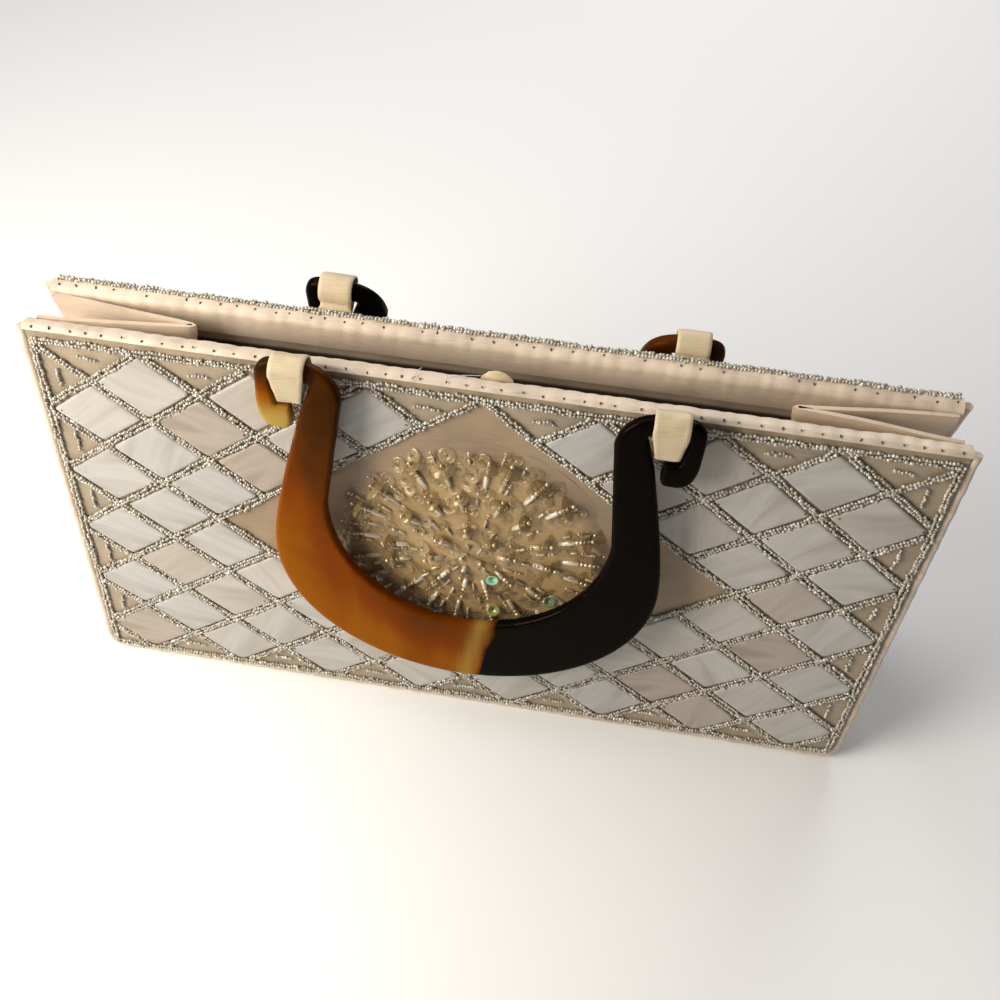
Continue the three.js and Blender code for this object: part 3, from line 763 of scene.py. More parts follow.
def border_lines(side):
    """The four sides of the bead border."""
    top = side.lattice_top + TOP_MARGIN - BORDER / 2
    bottom = top - FIELD_HEIGHT + BORDER
    edge = FIELD_HALF_WIDTH - BORDER / 2
    corners = [(-edge, top), (edge, top), (edge, bottom), (-edge, bottom)]
    return zip(corners, corners[1:] + corners[:1])


def beads_piece(side, name, strings, draw, node=None):
    centres, directions = (np.concatenate(column) for column in zip(*strings))
    sizes = draw.normal(1, 0.1, (len(centres), 1)).clip(0.75, 1.25) * BEAD_SIZE
    # Each bead's tone; the highest draw the painted glint at the top of the silver ramp
    tones = draw.beta(1.5, 1.2, len(centres))
    copies(side, name, BEAD, centres, directions, sizes, SILVER_BEAD, "silver_bead", node, tone=tones)


def bead_lattice(side):
    """Double strings along the lattice's lines and its border."""
    draw = np.random.default_rng(side.seed + 5)
    runs = [("rising", lattice_lines(1, side)), ("falling", lattice_lines(-1, side))]
    for kind, lines in [*runs, ("border", border_lines(side))]:
        ends = [(*line, draw, way * STRINGS_APART / 2) for line in lines for way in (-1, 1)]
        beads_piece(side, f"{kind}_strings", [string_of_beads(*each) for each in ends], draw, "bead_lattice")


def edge_dashes(side):
    """Short strings in the bare half cells along the border."""
    draw = np.random.default_rng(side.seed + 6)
    top = side.lattice_top
    bottom = top - ROWS * CELL_HEIGHT
    strings = []
    for column in range(1 - COLUMNS, COLUMNS, 2):
        x = column * CELL_WIDTH + draw.normal(0, 0.8)
        half = draw.uniform(3.2, 4.8)
        up = top - 5.2 + draw.normal(0, 0.4)
        tilt = draw.normal(0, 0.4)
        strings.append(string_of_beads((x - half, up - tilt), (x + half, up + tilt), draw, bow=0.5))
    for column in range(2 - COLUMNS, COLUMNS, 2):
        x = column * CELL_WIDTH + draw.normal(0, 0.8)
        half = draw.uniform(2.6, 4.2)
        up = bottom + 6.6 + draw.normal(0, 0.3)
        strings.append(string_of_beads((x - half, up), (x + half, up), draw))
    for row in range(1, ROWS, 2):
        up = top - row * CELL_HEIGHT + draw.normal(0, 0.5)
        for way in (-1, 1):
            half = draw.uniform(3.0, 4.5)
            x = way * (COLUMNS * CELL_WIDTH - 8 + draw.normal(0, 0.3))
            strings.append(string_of_beads((x, up - half), (x, up + half), draw))
    beads_piece(side, "edge_dashes", strings, draw)


def back_edge_beads(side):
    """Strings sewn along the outer edge of the back binding."""
    draw = np.random.default_rng(side.seed + 7)
    strings = []
    half = PANEL_HALF_WIDTH - 1
    for up, out in BACK_EDGE_STRINGS:
        centres, directions = string_of_beads((-half, up), (half, up), draw)
        centres[:, 2] += out - STRING_HEIGHT
        strings.append((centres, directions))
    beads_piece(side, "edge_strings", strings, draw)


# Medallion

# A stalk from its foot: a milky tube, gold beads, then a clear brown cap and a bead on its tip
TUBE_SHARE = 0.42
CAP_DROP = 2.1
TIP_DROP = 1.3
SEED_PITCH = 1.4
# Sequins coloured green as a painted reflection of the green light they catch, as (across, up) from the
# medallion's middle
PAINTED_GREEN_GLINT_SPOTS = [(7.7, -5.7), (27.4, -13.2), (8.9, -21.3)]
# Tubes and sequins between the stalks: (radius, how many)
LYING_TUBES = [(6, 7), (13, 12), (18, 14), (25, 20), (34, 24), (41, 26)]
GROUND_SEQUINS = [
    (8, 8), (13, 10), (17, 14), (21, 16), (25, 20), (29, 22), (33, 26), (37, 28), (40, 30), (43, 28)
]
MEDALLION_PARTS = {
    "tubes": (BUGLE, MILKY_BEAD),
    "seed_beads": (SMOOTH_BEAD, GOLD_BEAD),
    "caps": (CUP_SEQUIN, BROWN_SEQUIN),
    "painted_green_glint_sequins": (CUP_SEQUIN, PAINTED_GREEN_GLINT_SEQUIN),
    "ground_sequins": (FLAT_SEQUIN, CLEAR_SEQUIN),
}


def medallion_height(radius):
    """Height of the padded mound, which runs out flat into the satin round it."""
    crown = np.cos(np.asarray(radius) / MEDALLION_RADIUS * QUARTER_TURN) ** 2
    edge = 1 - smoothstep(MEDALLION_RADIUS - 8, MEDALLION_RADIUS, radius)
    return MEDALLION_EDGE * edge + (MEDALLION_CROWN - MEDALLION_EDGE) * crown


def medallion_middle(side):
    return side.lattice_top - DIAMOND * CELL_HEIGHT


def on_mound(side, radius, turn, lift):
    """Panel place on the mound."""
    flat = [radius * math.cos(turn), medallion_middle(side) + radius * math.sin(turn)]
    return np.array([*flat, medallion_height(radius) + lift])


def outwards(turn, lean):
    """Direction that leans away from the medallion's middle, with the lean in degrees."""
    lean = math.radians(lean)
    return np.array([math.cos(turn) * math.sin(lean), math.sin(turn) * math.sin(lean), math.cos(lean)])


def stalk_lines(side, draw):
    """Foot, direction and length of each stalk in panel places."""
    found = []
    for index, (radius, count, length, lean) in enumerate(STALK_RINGS):
        for i in range(count):
            turn = (i + (0.5 if index % 2 else 0)) / count * FULL_TURN + draw.normal(0, 0.035)
            foot = on_mound(side, radius + draw.normal(0, 0.4), turn, -STALK_SINK)
            direction = outwards(turn, lean + draw.normal(0, 2.5))
            found.append((foot, direction, length * draw.uniform(0.92, 1.02)))
    return found


def medallion(side):
    """Beads, tubes and sequins of the burst: each is a centre, a direction, a size and a tone."""
    draw = np.random.default_rng(side.seed + 8)
    tubes, seeds, caps, painted_glints, flats = rows = [[] for _ in MEDALLION_PARTS]
    for foot, direction, length in stalk_lines(side, draw):
        tube = length * TUBE_SHARE
        tube_middle = foot + direction * (0.4 + tube / 2)
        tubes.append((tube_middle, direction, [0.9, 0.9, tube], draw.uniform(0.4, 1)))
        for step in np.arange(tube + 1.2, length - CAP_DROP - 0.3, SEED_PITCH):
            seeds.append((foot + direction * step, direction, [0.75, 0.75, 1.3], draw.uniform(0.1, 1)))
        cap_facing = -direction + draw.normal(0, 0.1, 3)
        cap = foot + direction * (length - CAP_DROP)
        caps.append((cap, cap_facing, [length * draw.uniform(0.27, 0.31)] * 3, draw.uniform()))
        tip = foot + direction * (length - TIP_DROP)
        seeds.append((tip, direction, [0.7, 0.7, 1.1], draw.uniform(0.4, 1)))
    for radius, count in LYING_TUBES:
        for i in range(count):
            turn = (i + draw.uniform(-0.3, 0.3)) / count * FULL_TURN
            direction = outwards(turn, draw.uniform(80, 90))
            spot = on_mound(side, radius + draw.normal(0, 0.8), turn, 0.45)
            tubes.append((spot, direction, [0.5, 0.5, draw.uniform(2.4, 3.8)], draw.uniform()))
            for step in (2.9, 4.1):
                if draw.uniform() < 0.6:
                    seeds.append((spot + direction * step, direction, [0.5, 0.5, 0.8], draw.uniform()))
    for radius, count in GROUND_SEQUINS:
        for i in range(count):
            turn = (i + draw.uniform(-0.35, 0.35)) / count * FULL_TURN
            facing = outwards(turn, 20) + draw.normal(0, 0.16, 3)
            spot = on_mound(side, radius + draw.normal(0, 1), turn, 0.5)
            flats.append((spot, facing, [draw.uniform(2.2, 3.1)] * 3, draw.uniform()))
    # Sequins whose green colour is a painted reflection
    for number, (x, up) in enumerate(PAINTED_GREEN_GLINT_SPOTS):
        spot = on_mound(side, math.hypot(x, up), math.atan2(up, x), 1.6)
        facing = np.array([0.1, 0.25, 1]) + draw.normal(0, 0.1, 3)
        painted_glints.append((spot, facing, [2.2] * 3, number / 2))
    for (part, (template, look)), found in zip(MEDALLION_PARTS.items(), rows):
        *shapes, tones = zip(*found)
        copies(side, f"medallion_{part}", template, *shapes, look, "gold_bead", "medallion", tone=tones)
    medallion_ground(side)


def medallion_ground(side):
    """Padded satin mound that carries the beads."""
    radius = np.concatenate([np.linspace(MEDALLION_RADIUS, 3, 24), [0.4]])
    rings = lathe(np.column_stack([radius, medallion_height(radius)]), 72)
    rings[..., 2] += 0.12 * ripples(rings[..., :2], 9, side.seed + 9)
    bottom = rings[:1] * [1, 1, 0] - [0, 0, 0.4]
    places, faces = loft(np.concatenate([bottom, rings]))
    blush = smoothstep(MEDALLION_RADIUS - 12, MEDALLION_RADIUS - 2, np.hypot(places[:, 0], places[:, 1]))
    places = places + [0, medallion_middle(side), 0]
    made = piece(
        side, "medallion_ground", places, faces, SATIN_MOUND, "gold_bead", "medallion", 60, other=blush
    )


# Bindings, piping and stitches

STITCH_PITCH = 5.6
# How far the binding is uneven, how far a stitch pulls it in, and how wide that shows
RIM_UNEVENNESS = 0.14
STITCH_PULL = 0.2
STITCH_REACH = 1.3


def rim_section(side):
    """Closed outline of the padded binding as (outwards, up), from its outer edge over the top."""
    face, edge = side.rim_face, side.rim_edge
    outer_round = min(RIM_ROUNDING, RIM_TOP - edge)
    inner_low = RIM_TOP - RIM_ROUNDING
    inner_round = RIM_INNER_FACE + RIM_ROUNDING
    skin = np.concatenate([
        [[face, edge], [face + 0.1, (edge + RIM_TOP - outer_round) / 2 + 0.01]],
        arc((face - outer_round, RIM_TOP - outer_round), outer_round, 0, QUARTER_TURN, 6),
        [[(face - outer_round + inner_round) / 2, RIM_TOP + 0.12], [inner_round, RIM_TOP]],
        arc((inner_round, inner_low), RIM_ROUNDING, QUARTER_TURN, math.pi, 6),
        [[RIM_INNER_FACE - 0.1, (inner_low + RIM_INNER_EDGE) / 2], [RIM_INNER_FACE, RIM_INNER_EDGE]],
    ])
    under = [
        [RIM_INNER_FACE + RIM_WALL, RIM_INNER_EDGE],
        [RIM_INNER_FACE + RIM_WALL, RIM_TOP - 1.6 * RIM_WALL],
        [RIM_INNER_FACE + 2.2 * RIM_WALL, RIM_TOP - RIM_WALL],
    ]
    if edge < RIM_TOP - RIM_WALL:
        under.append([face - 2.2 * RIM_WALL, RIM_TOP - RIM_WALL])
    under.append([face - RIM_WALL, edge])
    return np.concatenate([skin, under]), len(skin)


def stitch_places(side):
    """Places along the binding where a stitch pulls it in."""
    draw = np.random.default_rng(side.seed + 10)
    count = int(2 * PANEL_HALF_WIDTH / STITCH_PITCH)
    steps = (np.arange(count) + 0.5) / count * 2 - 1
    return steps * PANEL_HALF_WIDTH + draw.normal(0, 0.7, count)


def rim(side):
    section, skin = rim_section(side)
    x = np.linspace(-PANEL_HALF_WIDTH, PANEL_HALF_WIDTH, 281)[:, None]
    away = unit(section - [(side.rim_face + RIM_INNER_FACE) / 2, RIM_TOP - RIM_ROUNDING])
    pull = np.exp(-(((x - stitch_places(side)) / STITCH_REACH) ** 2)).max(axis=1, keepdims=True)
    places = stacked(x, section[:, 1], section[:, 0])
    unevenness = RIM_UNEVENNESS * ripples(places * [0.5, 1, 1], 8, side.seed + 11) - STITCH_PULL * pull
    on_skin = np.zeros(len(section))
    on_skin[2 : skin - 2] = 1
    moved = (unevenness * on_skin)[..., None] * away
    places, faces = loft(places + stacked(0.0, moved[..., 1], moved[..., 0]))
    girth = lengths_along(section)
    weave = stacked(x, girth, 0.0)
    made = piece(side, "satin_rim", places, faces, SATIN_RIM, "satin", "rim", 60, place=weave)


def rim_stitches(side):
    """Dark stitches on the binding: on its outer rounding in front, on its top at the back."""
    draw = np.random.default_rng(side.seed + 12)
    x = stitch_places(side)
    if side is FRONT:
        up = RIM_TOP - 0.32 + draw.normal(0, 0.12, len(x))
        out = np.full(len(x), side.rim_face - 0.4)
        lengthwise = [0, -0.7, 1]
    else:
        x = x[draw.uniform(size=len(x)) < 0.7]
        up = np.full(len(x), RIM_TOP + 0.02)
        out = -2.4 + draw.normal(0, 0.25, len(x))
        lengthwise = [0, 0, 1]
    directions = np.array(lengthwise) + draw.normal(0, 0.3, (len(x), 3))
    sizes = stacked(0.26, 0.26, draw.uniform(0.6, 1.1, len(x)))
    copies(side, "rim_stitches", STITCH, stacked(x, up, out), directions, sizes, DARK_THREAD)


def piping_path():
    """Centre line of the piping as (across, up), evenly stepped, the way across it and how far along."""
    line = [[(-PIPING_X, PIPING_TOP)]]
    for centre, start in ((-PIPING_X + PIPING_BEND, math.pi), (PIPING_X - PIPING_BEND, 1.5 * math.pi)):
        bend = ((centre, PIPING_LOW + PIPING_BEND), PIPING_BEND)
        line += [arc(*bend, start, start, 1), arc(*bend, start, start + QUARTER_TURN, 10)]
    line = np.concatenate([*line, [(PIPING_X, PIPING_TOP)]])
    lengths = lengths_along(line)
    even = np.linspace(0, lengths[-1], 420)
    line = np.column_stack([np.interp(even, lengths, axis) for axis in line.T])
    along = unit(np.gradient(line, axis=0))
    return line, np.column_stack([along[:, 1], -along[:, 0]]), even[:, None]


def piping(side):
    """Rolled satin edge with slanting gathers."""
    line, aside, along = piping_path()
    turn = turns_of(12)
    wander = 1.5 * ripples(along, 30, side.seed + 13)[:, None]
    slant = np.sin(along / 1.1 + turn + wander)
    radius = PIPING_RADIUS * (1 + 0.05 * slant + 0.05 * ripples(along, 11, side.seed + 14)[:, None])
    flat = line[:, None] + (radius * np.cos(turn))[..., None] * aside[:, None]
    out = PIPING_DEPTH + radius * np.sin(turn)
    places, faces = loft(np.concatenate([flat, out[..., None]], axis=-1))
    weave = stacked(along, turn * PIPING_RADIUS, 0.0)
    made = piece(side, "satin_piping", places, faces, SATIN_RIM, "satin", "piping", 70, place=weave)


# Folded sides, base and boards

# How round the fold is, and how far its cloth sags in soft pulls, droops and flares at the top
FOLD_ROUNDING = 0.04
GUSSET_PULLS = 0.9
GUSSET_DROOP = 1.1
GUSSET_FLARE = 2.2
HEM_HEIGHT = 3.6
HEM_THICKENING = 0.35


def inside_at(z):
    """Distance from the bag's middle plane to the inside of a panel at a height."""
    thickness = -BOARD_INNER
    rise = z - PANEL_LIFT + thickness * math.sin(LEAN)
    return BASE_DEPTH / 2 - thickness * math.cos(LEAN) - rise * math.tan(LEAN)


def gusset(label, way):
    """One side wall, folded inwards along its middle, with soft pulls in the cloth and a hem."""
    z = np.linspace(BASE_THICKNESS + GAP, GUSSET_TOP, 96)[:, None]
    share = (z - z[0]) / (z[-1] - z[0])
    tucked = np.clip((z - GUSSET_TUCK[0]) / (GUSSET_TUCK[1] - GUSSET_TUCK[0]), 0, 1)
    reach = inside_at(z) - GAP - GUSSET_WALL / 2 - tucked * (RIM_WALL + GAP)
    half_cloth = GUSSET_CLOTH[0] + (GUSSET_CLOTH[1] - GUSSET_CLOTH[0]) * share
    depth = np.sqrt(half_cloth**2 - reach**2)
    along = np.linspace(-1, 1, 49)
    fold = np.abs(along)
    rounded = np.sqrt(fold**2 + FOLD_ROUNDING**2) - FOLD_ROUNDING * (1 - fold)
    x = GUSSET_EDGE_X - depth * (1 - rounded)
    y = reach * along
    free = np.sin(fold * math.pi) * smoothstep(0, 0.12, share)
    pulls = ripples(stacked(z * 0.45, y * 1.2 + 60 * (along > 0), x * 0.4), 22, 300 + way)
    sag = free * (GUSSET_PULLS * pulls + GUSSET_DROOP * np.sin(fold * math.pi) * share)
    y = y + np.sign(along) * GUSSET_FLARE * smoothstep(0.86, 1.0, share) * fold * (1 - fold)
    slope = np.arctan2(reach, depth)
    inward = stacked(-np.sin(slope), np.sign(along) * np.cos(slope), 0.0)
    inward[:, along == 0] = [-1, 0, 0]
    middle = stacked(x, y, z) - 0.6 * sag[..., None] * inward
    hem = smoothstep(GUSSET_TOP - HEM_HEIGHT, GUSSET_TOP - HEM_HEIGHT + 0.4, z)
    hem = hem * smoothstep(0, 0.4, GUSSET_TOP - z + 0.2)
    half = (GUSSET_WALL / 2 * (1 + HEM_THICKENING * hem))[..., None]
    places, faces = slab(middle - half * inward, middle + half * inward)
    names = (f"{label}_satin_gusset", f"{label}_gusset")
    turned = places * [way, way, 1]
    made = piece(
        None, names[0], turned, faces, SATIN_GUSSET, "satin", names[1], 60, place=places[:, [1, 2, 0]]
    )


def boards_and_base():
    """The base and the boards keep their own solids, with softened edges and cloth on them."""
    # The boards carry the lining, with its painted shade inside the bag
    for name, look in (("base_panel", SATIN_BASE), ("front_panel", LINING), ("back_panel", LINING)):
        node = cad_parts[name]
        node.data.materials.clear()
        node.data.materials.append(look)
        soft = node.modifiers.new("soft_edges", "BEVEL")
        soft.width = 0.7 * MM
        soft.segments = 3
        soft.limit_method = "ANGLE"


# Tabs and handles

# Half the distance between the two layers of a tab at its seam
TAB_LAYER = 0.42
# A tab's cross-section from edge to edge: (share of its half width, share of its half thickness)
TAB_SECTION = [(-1, 0.3), (-0.97, 0.85), (-0.75, 1), (-0.45, 1), (-0.15, 1)]
TAB_SECTION += [(-across, thick) for across, thick in TAB_SECTION[::-1]]
TAB_HALF_THICKNESS = TAB_WALL * 0.46
TAB_WRINKLES = 0.1


def tab_path(bar_up, seam_up):
    """Middle line of a tab's cloth as (outwards, up): from the seam down behind the bar, round its foot,
    up in front, over the bar and back to the seam."""
    bar = np.array([HANDLE_OUT, bar_up])
    foot = bar + [TAB_FOOT_OUT, -TAB_FOOT_DROP]
    bar_radius = TAB_HOLE + TAB_WALL / 2
    foot_radius = TAB_FOOT_HOLE + TAB_WALL / 2
    down = math.atan2(-TAB_FOOT_DROP, TAB_FOOT_OUT)
    spread = math.acos((TAB_HOLE - TAB_FOOT_HOLE) / math.hypot(TAB_FOOT_DROP, TAB_FOOT_OUT))
    seam = np.array([GAP + 0.1, seam_up])
    to_seam = math.atan2(seam_up - bar_up, GAP - HANDLE_OUT) % FULL_TURN
    aside = np.array([-math.sin(to_seam), math.cos(to_seam)]) * TAB_LAYER
    opening = math.asin(TAB_LAYER / bar_radius)

    back_top, front_top = (arc(bar, bar_radius, down, turn, 1)[0] for turn in (down - spread, down + spread))
    below = arc(foot, foot_radius, down - spread, down + spread, 14)
    over = arc(bar, bar_radius, down + spread, to_seam - opening, 36)
    back_start = back_top + (below[0] - back_top) * 0.18

    def run(start, end, shares):
        return [start + (end - start) * share for share in shares]

    return np.concatenate([
        run(seam + aside, back_start, (0, 0.35, 0.7)),
        run(back_start, below[0], np.linspace(0, 1, 8)[:-1]),
        below,
        run(below[-1], front_top, np.linspace(0, 1, 8)[1:]),
        over,
        run(over[-1], seam - aside, (0.3, 0.65, 1)),
    ])


def tab(side, hand, way):
    x = side.shift + way * TAB_REACH * math.cos(side.tilt)
    up = side.bar_up - way * TAB_REACH * math.sin(side.tilt)
    line = tab_path(up, side.seam_up)
    along = unit(np.gradient(line, axis=0))
    normal = np.column_stack([along[:, 1], -along[:, 0]])
    loop_back = HANDLE_OUT - TAB_HOLE - TAB_WALL
    foot_end = TAB_FOOT_DROP + TAB_FOOT_HOLE + TAB_WALL
    near_seam = np.clip((loop_back - line[:, 0]) / (loop_back - GAP), 0, 1)
    below = np.clip((up - line[:, 1]) / foot_end, 0, 1) * (1 - near_seam)
    width = TAB_WIDTH + near_seam * (TAB_SEAM_WIDTH - TAB_WIDTH) + below * (TAB_FOOT_WIDTH - TAB_WIDTH)
    aside = way * below * TAB_FOOT_ASIDE
    across, thick = np.array(TAB_SECTION).T
    across = np.concatenate([across, across[::-1]])
    thick = np.concatenate([thick, -thick[::-1]]) * TAB_HALF_THICKNESS
    lengths = lengths_along(line)
    weave = stacked(across * TAB_WIDTH / 2, lengths[:, None], 0.0)
    wrinkle = TAB_WRINKLES * ripples(weave, 5, side.seed + 20 + (hand == "left")) * (thick > 0)
    flat = line[:, None] + (thick + wrinkle)[..., None] * normal[:, None]
    x_places = x + aside[:, None] + across * width[:, None] / 2
    places, faces = loft(stacked(x_places, flat[..., 1], flat[..., 0]))
    made = piece(side, f"{hand}_satin_tab", places, faces, SATIN_TAB, "satin", f"{hand}_tab", 60, place=weave)
    flat = (float(width.max()) * MM, float(lengths[-1]) * MM)


def handle_outline():
    """Closed outline of the handle in its own plane: hooked arms and a round bend, drops below the bar."""
    bar, small = BAR_HALF, 1.2
    inner_bend, inner_drop, inner_depth = 45.2, 47, 43.6
    outer_bend, outer_drop, outer_depth = 62.9, 66, 50.2
    flare_end, flare, arm_outer = (outer_bend, -53), (56.5, -30), (52.9, -15)
    arm_inner, shoulder, shoulder_end = (40, -8), (41.3, 1.5), 51
    eye_in, eye_out, eye_foot, eye_drop = 49.2, 60.8, 59.8, 12
    hook, hook_drop, hook_tip, hook_flat = 65.5, 20, 54.8, 59.5
    hook_middle = -(eye_drop + hook_drop) / 2

    half = [np.array([[0, -outer_drop - outer_depth]])]
    half.append(arc((0, -outer_drop), (outer_bend, outer_depth), -QUARTER_TURN, 0, 60))

    def curve(*controls, steps=6):
        half.append(bezier([half[-1][-1], *controls], steps))

    def line(*end):
        curve(end, steps=max(1, int(np.linalg.norm(np.subtract(end, half[-1][-1])) / 1.2)))

    curve(flare_end, flare, arm_outer, steps=40)
    line(eye_in, -bar - small)
    curve((eye_in, -bar), (eye_in + small, -bar))
    line(eye_out - small, -bar)
    curve((eye_out, -bar), (eye_out, -bar - small))
    line(eye_foot, -eye_drop + small)
    curve((eye_foot, -eye_drop), (eye_foot - small, -eye_drop))
    line(hook_tip + small, -eye_drop)
    curve((hook_tip, -eye_drop), (hook_tip, hook_middle))
    curve((hook_tip, -hook_drop), (hook_tip + 2 * small, -hook_drop))
    line(hook_flat, -hook_drop)
    curve((hook, -hook_drop), (hook, -hook_drop / 2), steps=12)
    line(hook, -bar)
    curve((hook, bar), (hook_flat, bar), steps=12)
    line(shoulder_end, bar)
    curve(shoulder, arm_inner, steps=12)
    line(inner_bend, -inner_drop)
    half.append(arc((0, -inner_drop), (inner_bend, inner_depth), 0, -QUARTER_TURN, 50))
    right = np.concatenate(half)
    return np.concatenate([right, right[1:-1][::-1] * [-1, 1]])


def distance_to_outline(points, outline):
    """Shortest distance from points to a closed outline."""
    shortest = np.full(len(points), np.inf)
    for start, end in zip(outline, np.roll(outline, -1, axis=0)):
        span = end - start
        share = np.clip(((points - start) @ span) / (span @ span), 0, 1)
        shortest = np.minimum(shortest, np.linalg.norm(points - start - share[:, None] * span, axis=1))
    return shortest


# Steps of the handle's rounded edge, and its mesh's width in the middle
HANDLE_STEPS = (0.1, 0.35, 0.8, HANDLE_ROUNDING)
HANDLE_MESH = 2.4


def handle_mesh():
    """Places and faces of the handle with rounded edges, in its own frame."""
    outline = handle_outline()
    along = unit(np.roll(outline, -1, axis=0) - np.roll(outline, 1, axis=0))
    inwards = np.column_stack([-along[:, 1], along[:, 0]])
    points = [outline]
    for inset in HANDLE_STEPS:
        moved = outline + inset * inwards
        points.append(moved[distance_to_outline(moved, outline) > 0.93 * inset])
    spans = [np.arange(low, high, HANDLE_MESH) for low, high in zip(outline.min(axis=0), outline.max(axis=0))]
    points.append(stacked(*np.meshgrid(*spans)).reshape(-1, 2))
    vectors = [Vector(point) for point in np.concatenate(points)]
    edges = [(i, (i + 1) % len(outline)) for i in range(len(outline))]
    flat, _, triangles, *_ = delaunay_2d_cdt(vectors, edges, [], 1, 1e-4)
    used, triangles = np.unique(np.array(triangles), return_inverse=True)
    flat = np.array(flat)[used]
    triangles = triangles.reshape(-1, 3)
    depth = np.minimum(distance_to_outline(flat, outline), HANDLE_ROUNDING)
    rise = np.sqrt(np.maximum(HANDLE_ROUNDING**2 - (HANDLE_ROUNDING - depth) ** 2, 0))
    half = HANDLE_THICKNESS / 2 - HANDLE_ROUNDING + rise
    count = len(flat)
    sides = np.concatenate([triangles[:, [a, (a + 1) % 3]] for a in range(3)])
    rims, uses = np.unique(np.sort(sides, axis=1), axis=0, return_counts=True)
    walls = [[a, b, b + count, a + count] for a, b in rims[uses == 1]]
    faces = triangles.tolist() + (triangles[:, ::-1] + count).tolist() + walls
    return np.concatenate([np.column_stack([flat, half]), np.column_stack([flat, -half])]), faces


# Slanting border between the two colours at the foot of the bend: slope, middle of the light streak, border
BORDER_SLOPE = 0.17
BORDER_UP = -102
STREAK_X = 5.3
BORDER_X = 9.6


def shell_tones(x, rise):
    """Warmth, glow and blackness of the tortoiseshell over the handle's plane."""
    low = smoothstep(-14, -64, rise)
    outer = smoothstep(46, 66, np.hypot(x, np.minimum(rise + 47, 0)))
    near_border = smoothstep(-34, 6, x) * low
    on_hook = smoothstep(-53.5, -55.5, x) * smoothstep(-24, -20.5, rise)
    warmth = 0.2 + 0.34 * low + 0.3 * outer - 0.12 * near_border
    warmth = warmth * (1 - on_hook) + on_hook * (0.05 + 0.85 * smoothstep(1, -12, rise))
    slanted = x - BORDER_SLOPE * (rise - BORDER_UP)
    streak = 0.5 * np.exp(-(((slanted - STREAK_X) / 2.6) ** 2)) * smoothstep(-66, -84, rise)
    glow = np.maximum(streak, on_hook * smoothstep(-9, -17, rise))
    black = np.clip(0.5 + (slanted - BORDER_X) / 9, 0, 1) + (x > 30)
    return {"warmth": warmth, "glow": glow, "black": black}


def handle(side, shape):
    local, faces = shape
    x, rise, out = local.T
    hung = rise * math.cos(HANDLE_SWING) + out * math.sin(HANDLE_SWING)
    places = stacked(
        side.shift + x * math.cos(side.tilt) + hung * math.sin(side.tilt),
        side.bar_up - x * math.sin(side.tilt) + hung * math.cos(side.tilt),
        HANDLE_OUT + out * math.cos(HANDLE_SWING) - rise * math.sin(HANDLE_SWING),
    )
    points = {"place": local, **shell_tones(x, rise)}
    body = f"{side.label}_handle"
    piece(side, "shell_handle", places, faces, TORTOISESHELL, "tortoiseshell", "handle", 40, body, **points)


# Closure and loose threads

DOME_SIDES = 40
# Loose ends of thread: panel places (across, up, outwards) that each one follows
LOOSE_ENDS = [
    [(-60.6, 147.6, 1.4), (-60.4, 149.6, 3.6), (-61.3, 146.6, 5.6), (-60.6, 142.6, 6.2), (-59.6, 139.4, 6.0)],
    [(-20.9, 148.4, 1.2), (-19.9, 149.9, 0.2), (-19.2, 150.4, -1.2), (-18.5, 150.1, -2.6)],
    [(-11.2, 148.9, -1.0), (-8, 149.6, -2.2), (-4, 149.2, -3.4), (-1, 148.7, -4.6)],
]
LOOSE_RADIUS = 0.13


def closure_dome(side):
    """Satin-covered half of the closure on the inside of the front binding."""
    turn = np.linspace(0, 1, 9)[:-1] * QUARTER_TURN
    skin = np.column_stack([DOME_RADIUS * np.cos(turn), DOME_RISE * np.sin(turn) + 0.1])
    rings = lathe(np.concatenate([[[DOME_RADIUS * 0.97, -0.05]], skin]), DOME_SIDES)
    rings[1:4, :, :2] *= (1 + 0.02 * np.sin(turns_of(DOME_SIDES) * 13))[None, :, None]
    places, faces = loft(rings)
    places = places * [1, 1, -1] + [DOME_X, DOME_UP, BOARD_INNER - 2 * GAP - RIM_WALL]
    names = ("closure_satin_dome", "closure_dome")
    world = to_world(side, places)
    made = piece(None, names[0], world, faces, SATIN_TAB, "satin", names[1], 60, place=places)


def loose_threads(side):
    turn = turns_of(5)
    ring = stacked(np.cos(turn), np.sin(turn), 0.0) * LOOSE_RADIUS
    parts = []
    for ends in LOOSE_ENDS:
        line = np.concatenate([[ends[0]], bezier(ends, 24)])
        turned = np.einsum("rij,pj->rpi", frames_along(np.gradient(line, axis=0)), ring)
        parts.append(loft(turned + line[:, None]))
    places, faces = join(parts)
    piece(None, "loose_threads", to_world(side, places), faces, WHITE_THREAD, place=places)


# The whole bag
HANDLE_SHAPE = handle_mesh()
for side in (FRONT, BACK):
    satin_face(side)
    pearl_tiles(side)
    tile_stitches(side)
    bead_lattice(side)
    edge_dashes(side)
    medallion(side)
    rim(side)
    rim_stitches(side)
    piping(side)
    tab(side, "left", -1)
    tab(side, "right", 1)
    handle(side, HANDLE_SHAPE)
back_edge_beads(BACK)
closure_dome(FRONT)
loose_threads(FRONT)
gusset("right", 1)
gusset("left", -1)
boards_and_base()


# Floor, light and camera

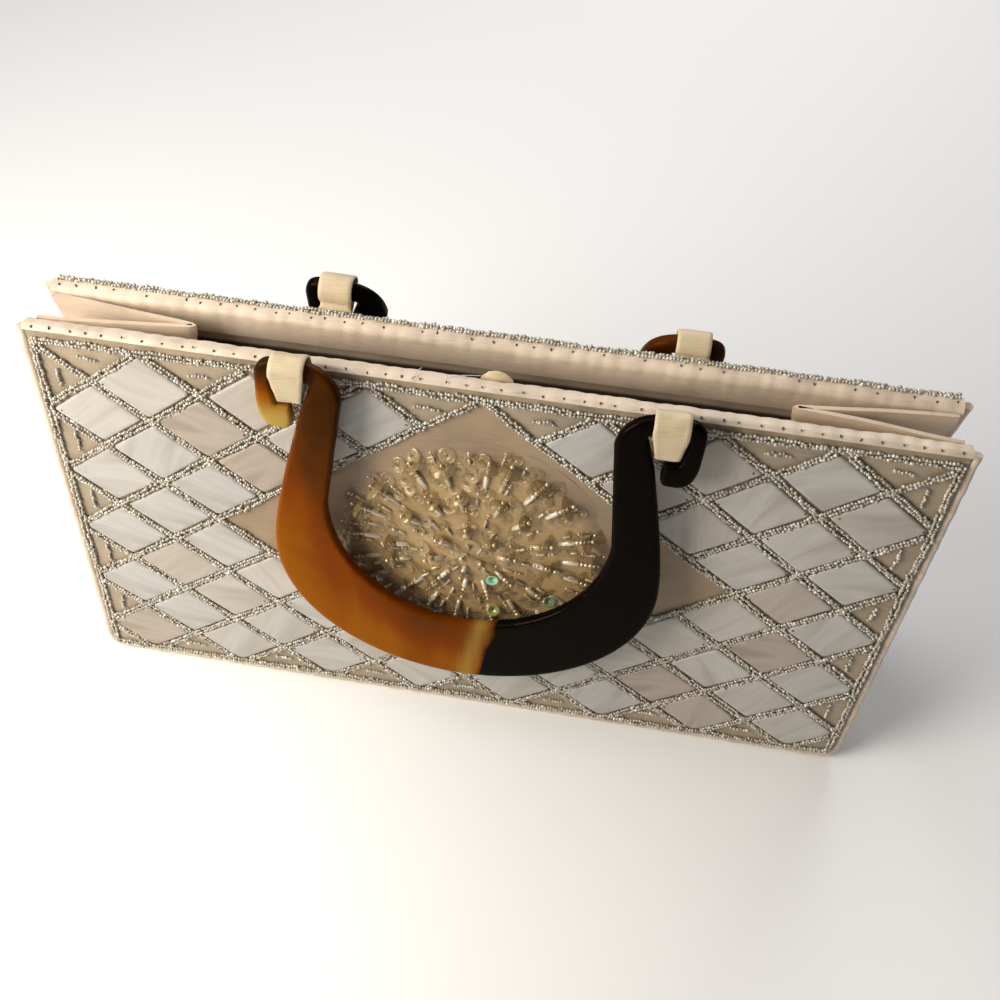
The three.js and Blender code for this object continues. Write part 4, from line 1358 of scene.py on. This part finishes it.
# Lights: name, place and width in metres, power in watts, colour
LIGHTS = [
    ("key", (-0.36, -0.235, 0.325), 0.32, 2.95, (1, 0.94, 0.83)),
    ("top", (-0.5, 0.2, 1.0), 0.9, 4.8, (1, 0.98, 0.95)),
    ("fill", (0.8, -0.7, 0.6), 0.8, 0.08, (0.88, 0.9, 1)),
    ("back", (0.2, 0.9, 0.7), 0.7, 4.4, (1, 0.98, 0.95)),
]
LIGHT_AIM = (0, 0, 0.09)
WORLD_COLOUR = (0.92, 0.94, 1, 1)
WORLD_STRENGTH = 0.14
FLOOR_REACH = 6


def floor():
    look = Look("pale_floor", {"Base Color": (0.95, 0.95, 0.95, 1), "Specular IOR Level": 0.2})
    look.feed("Roughness", look.spread(look.noise(look.object_place(), 60, 2), 0.6, 0.75))
    mesh = bpy.data.meshes.new("floor")
    corners = [(-1, -1), (1, -1), (1, 1), (-1, 1)]
    mesh.from_pydata([(x * FLOOR_REACH, y * FLOOR_REACH, 0) for x, y in corners], [], [(0, 1, 2, 3)])
    mesh.materials.append(look.material)
    add_object("floor", mesh)


def lights():
    for name, place, size, power, colour in LIGHTS:
        data = bpy.data.lights.new(name, "AREA")
        data.shape = "DISK"
        data.size = size
        data.energy = power
        data.color = colour
        made = add_object(name, data)
        made.location = place
        made.rotation_euler = (Vector(LIGHT_AIM) - Vector(place)).to_track_quat("-Z", "Y").to_euler()
        made.visible_camera = False
    world = bpy.data.worlds.new("studio")
    world.use_nodes = True
    background = world.node_tree.nodes["Background"]
    background.inputs["Color"].default_value = WORLD_COLOUR
    background.inputs["Strength"].default_value = WORLD_STRENGTH
    bpy.context.scene.world = world
    bpy.context.scene.view_settings.view_transform = "Standard"


def camera():
    data = bpy.data.cameras.new("camera")
    data.lens = CAMERA_LENS
    data.sensor_width = 36
    data.clip_start = 0.01
    made = add_object("camera", data)
    place = Vector(CAMERA_PLACE) * MM
    turn = (Vector(CAMERA_AIM) * MM - place).to_track_quat("-Z", "Y").to_matrix().to_4x4()
    roll = Matrix.Rotation(math.radians(CAMERA_ROLL), 4, "Z")
    made.matrix_world = Matrix.Translation(place) @ turn @ roll
    bpy.context.scene.camera = made


floor()
lights()
camera()
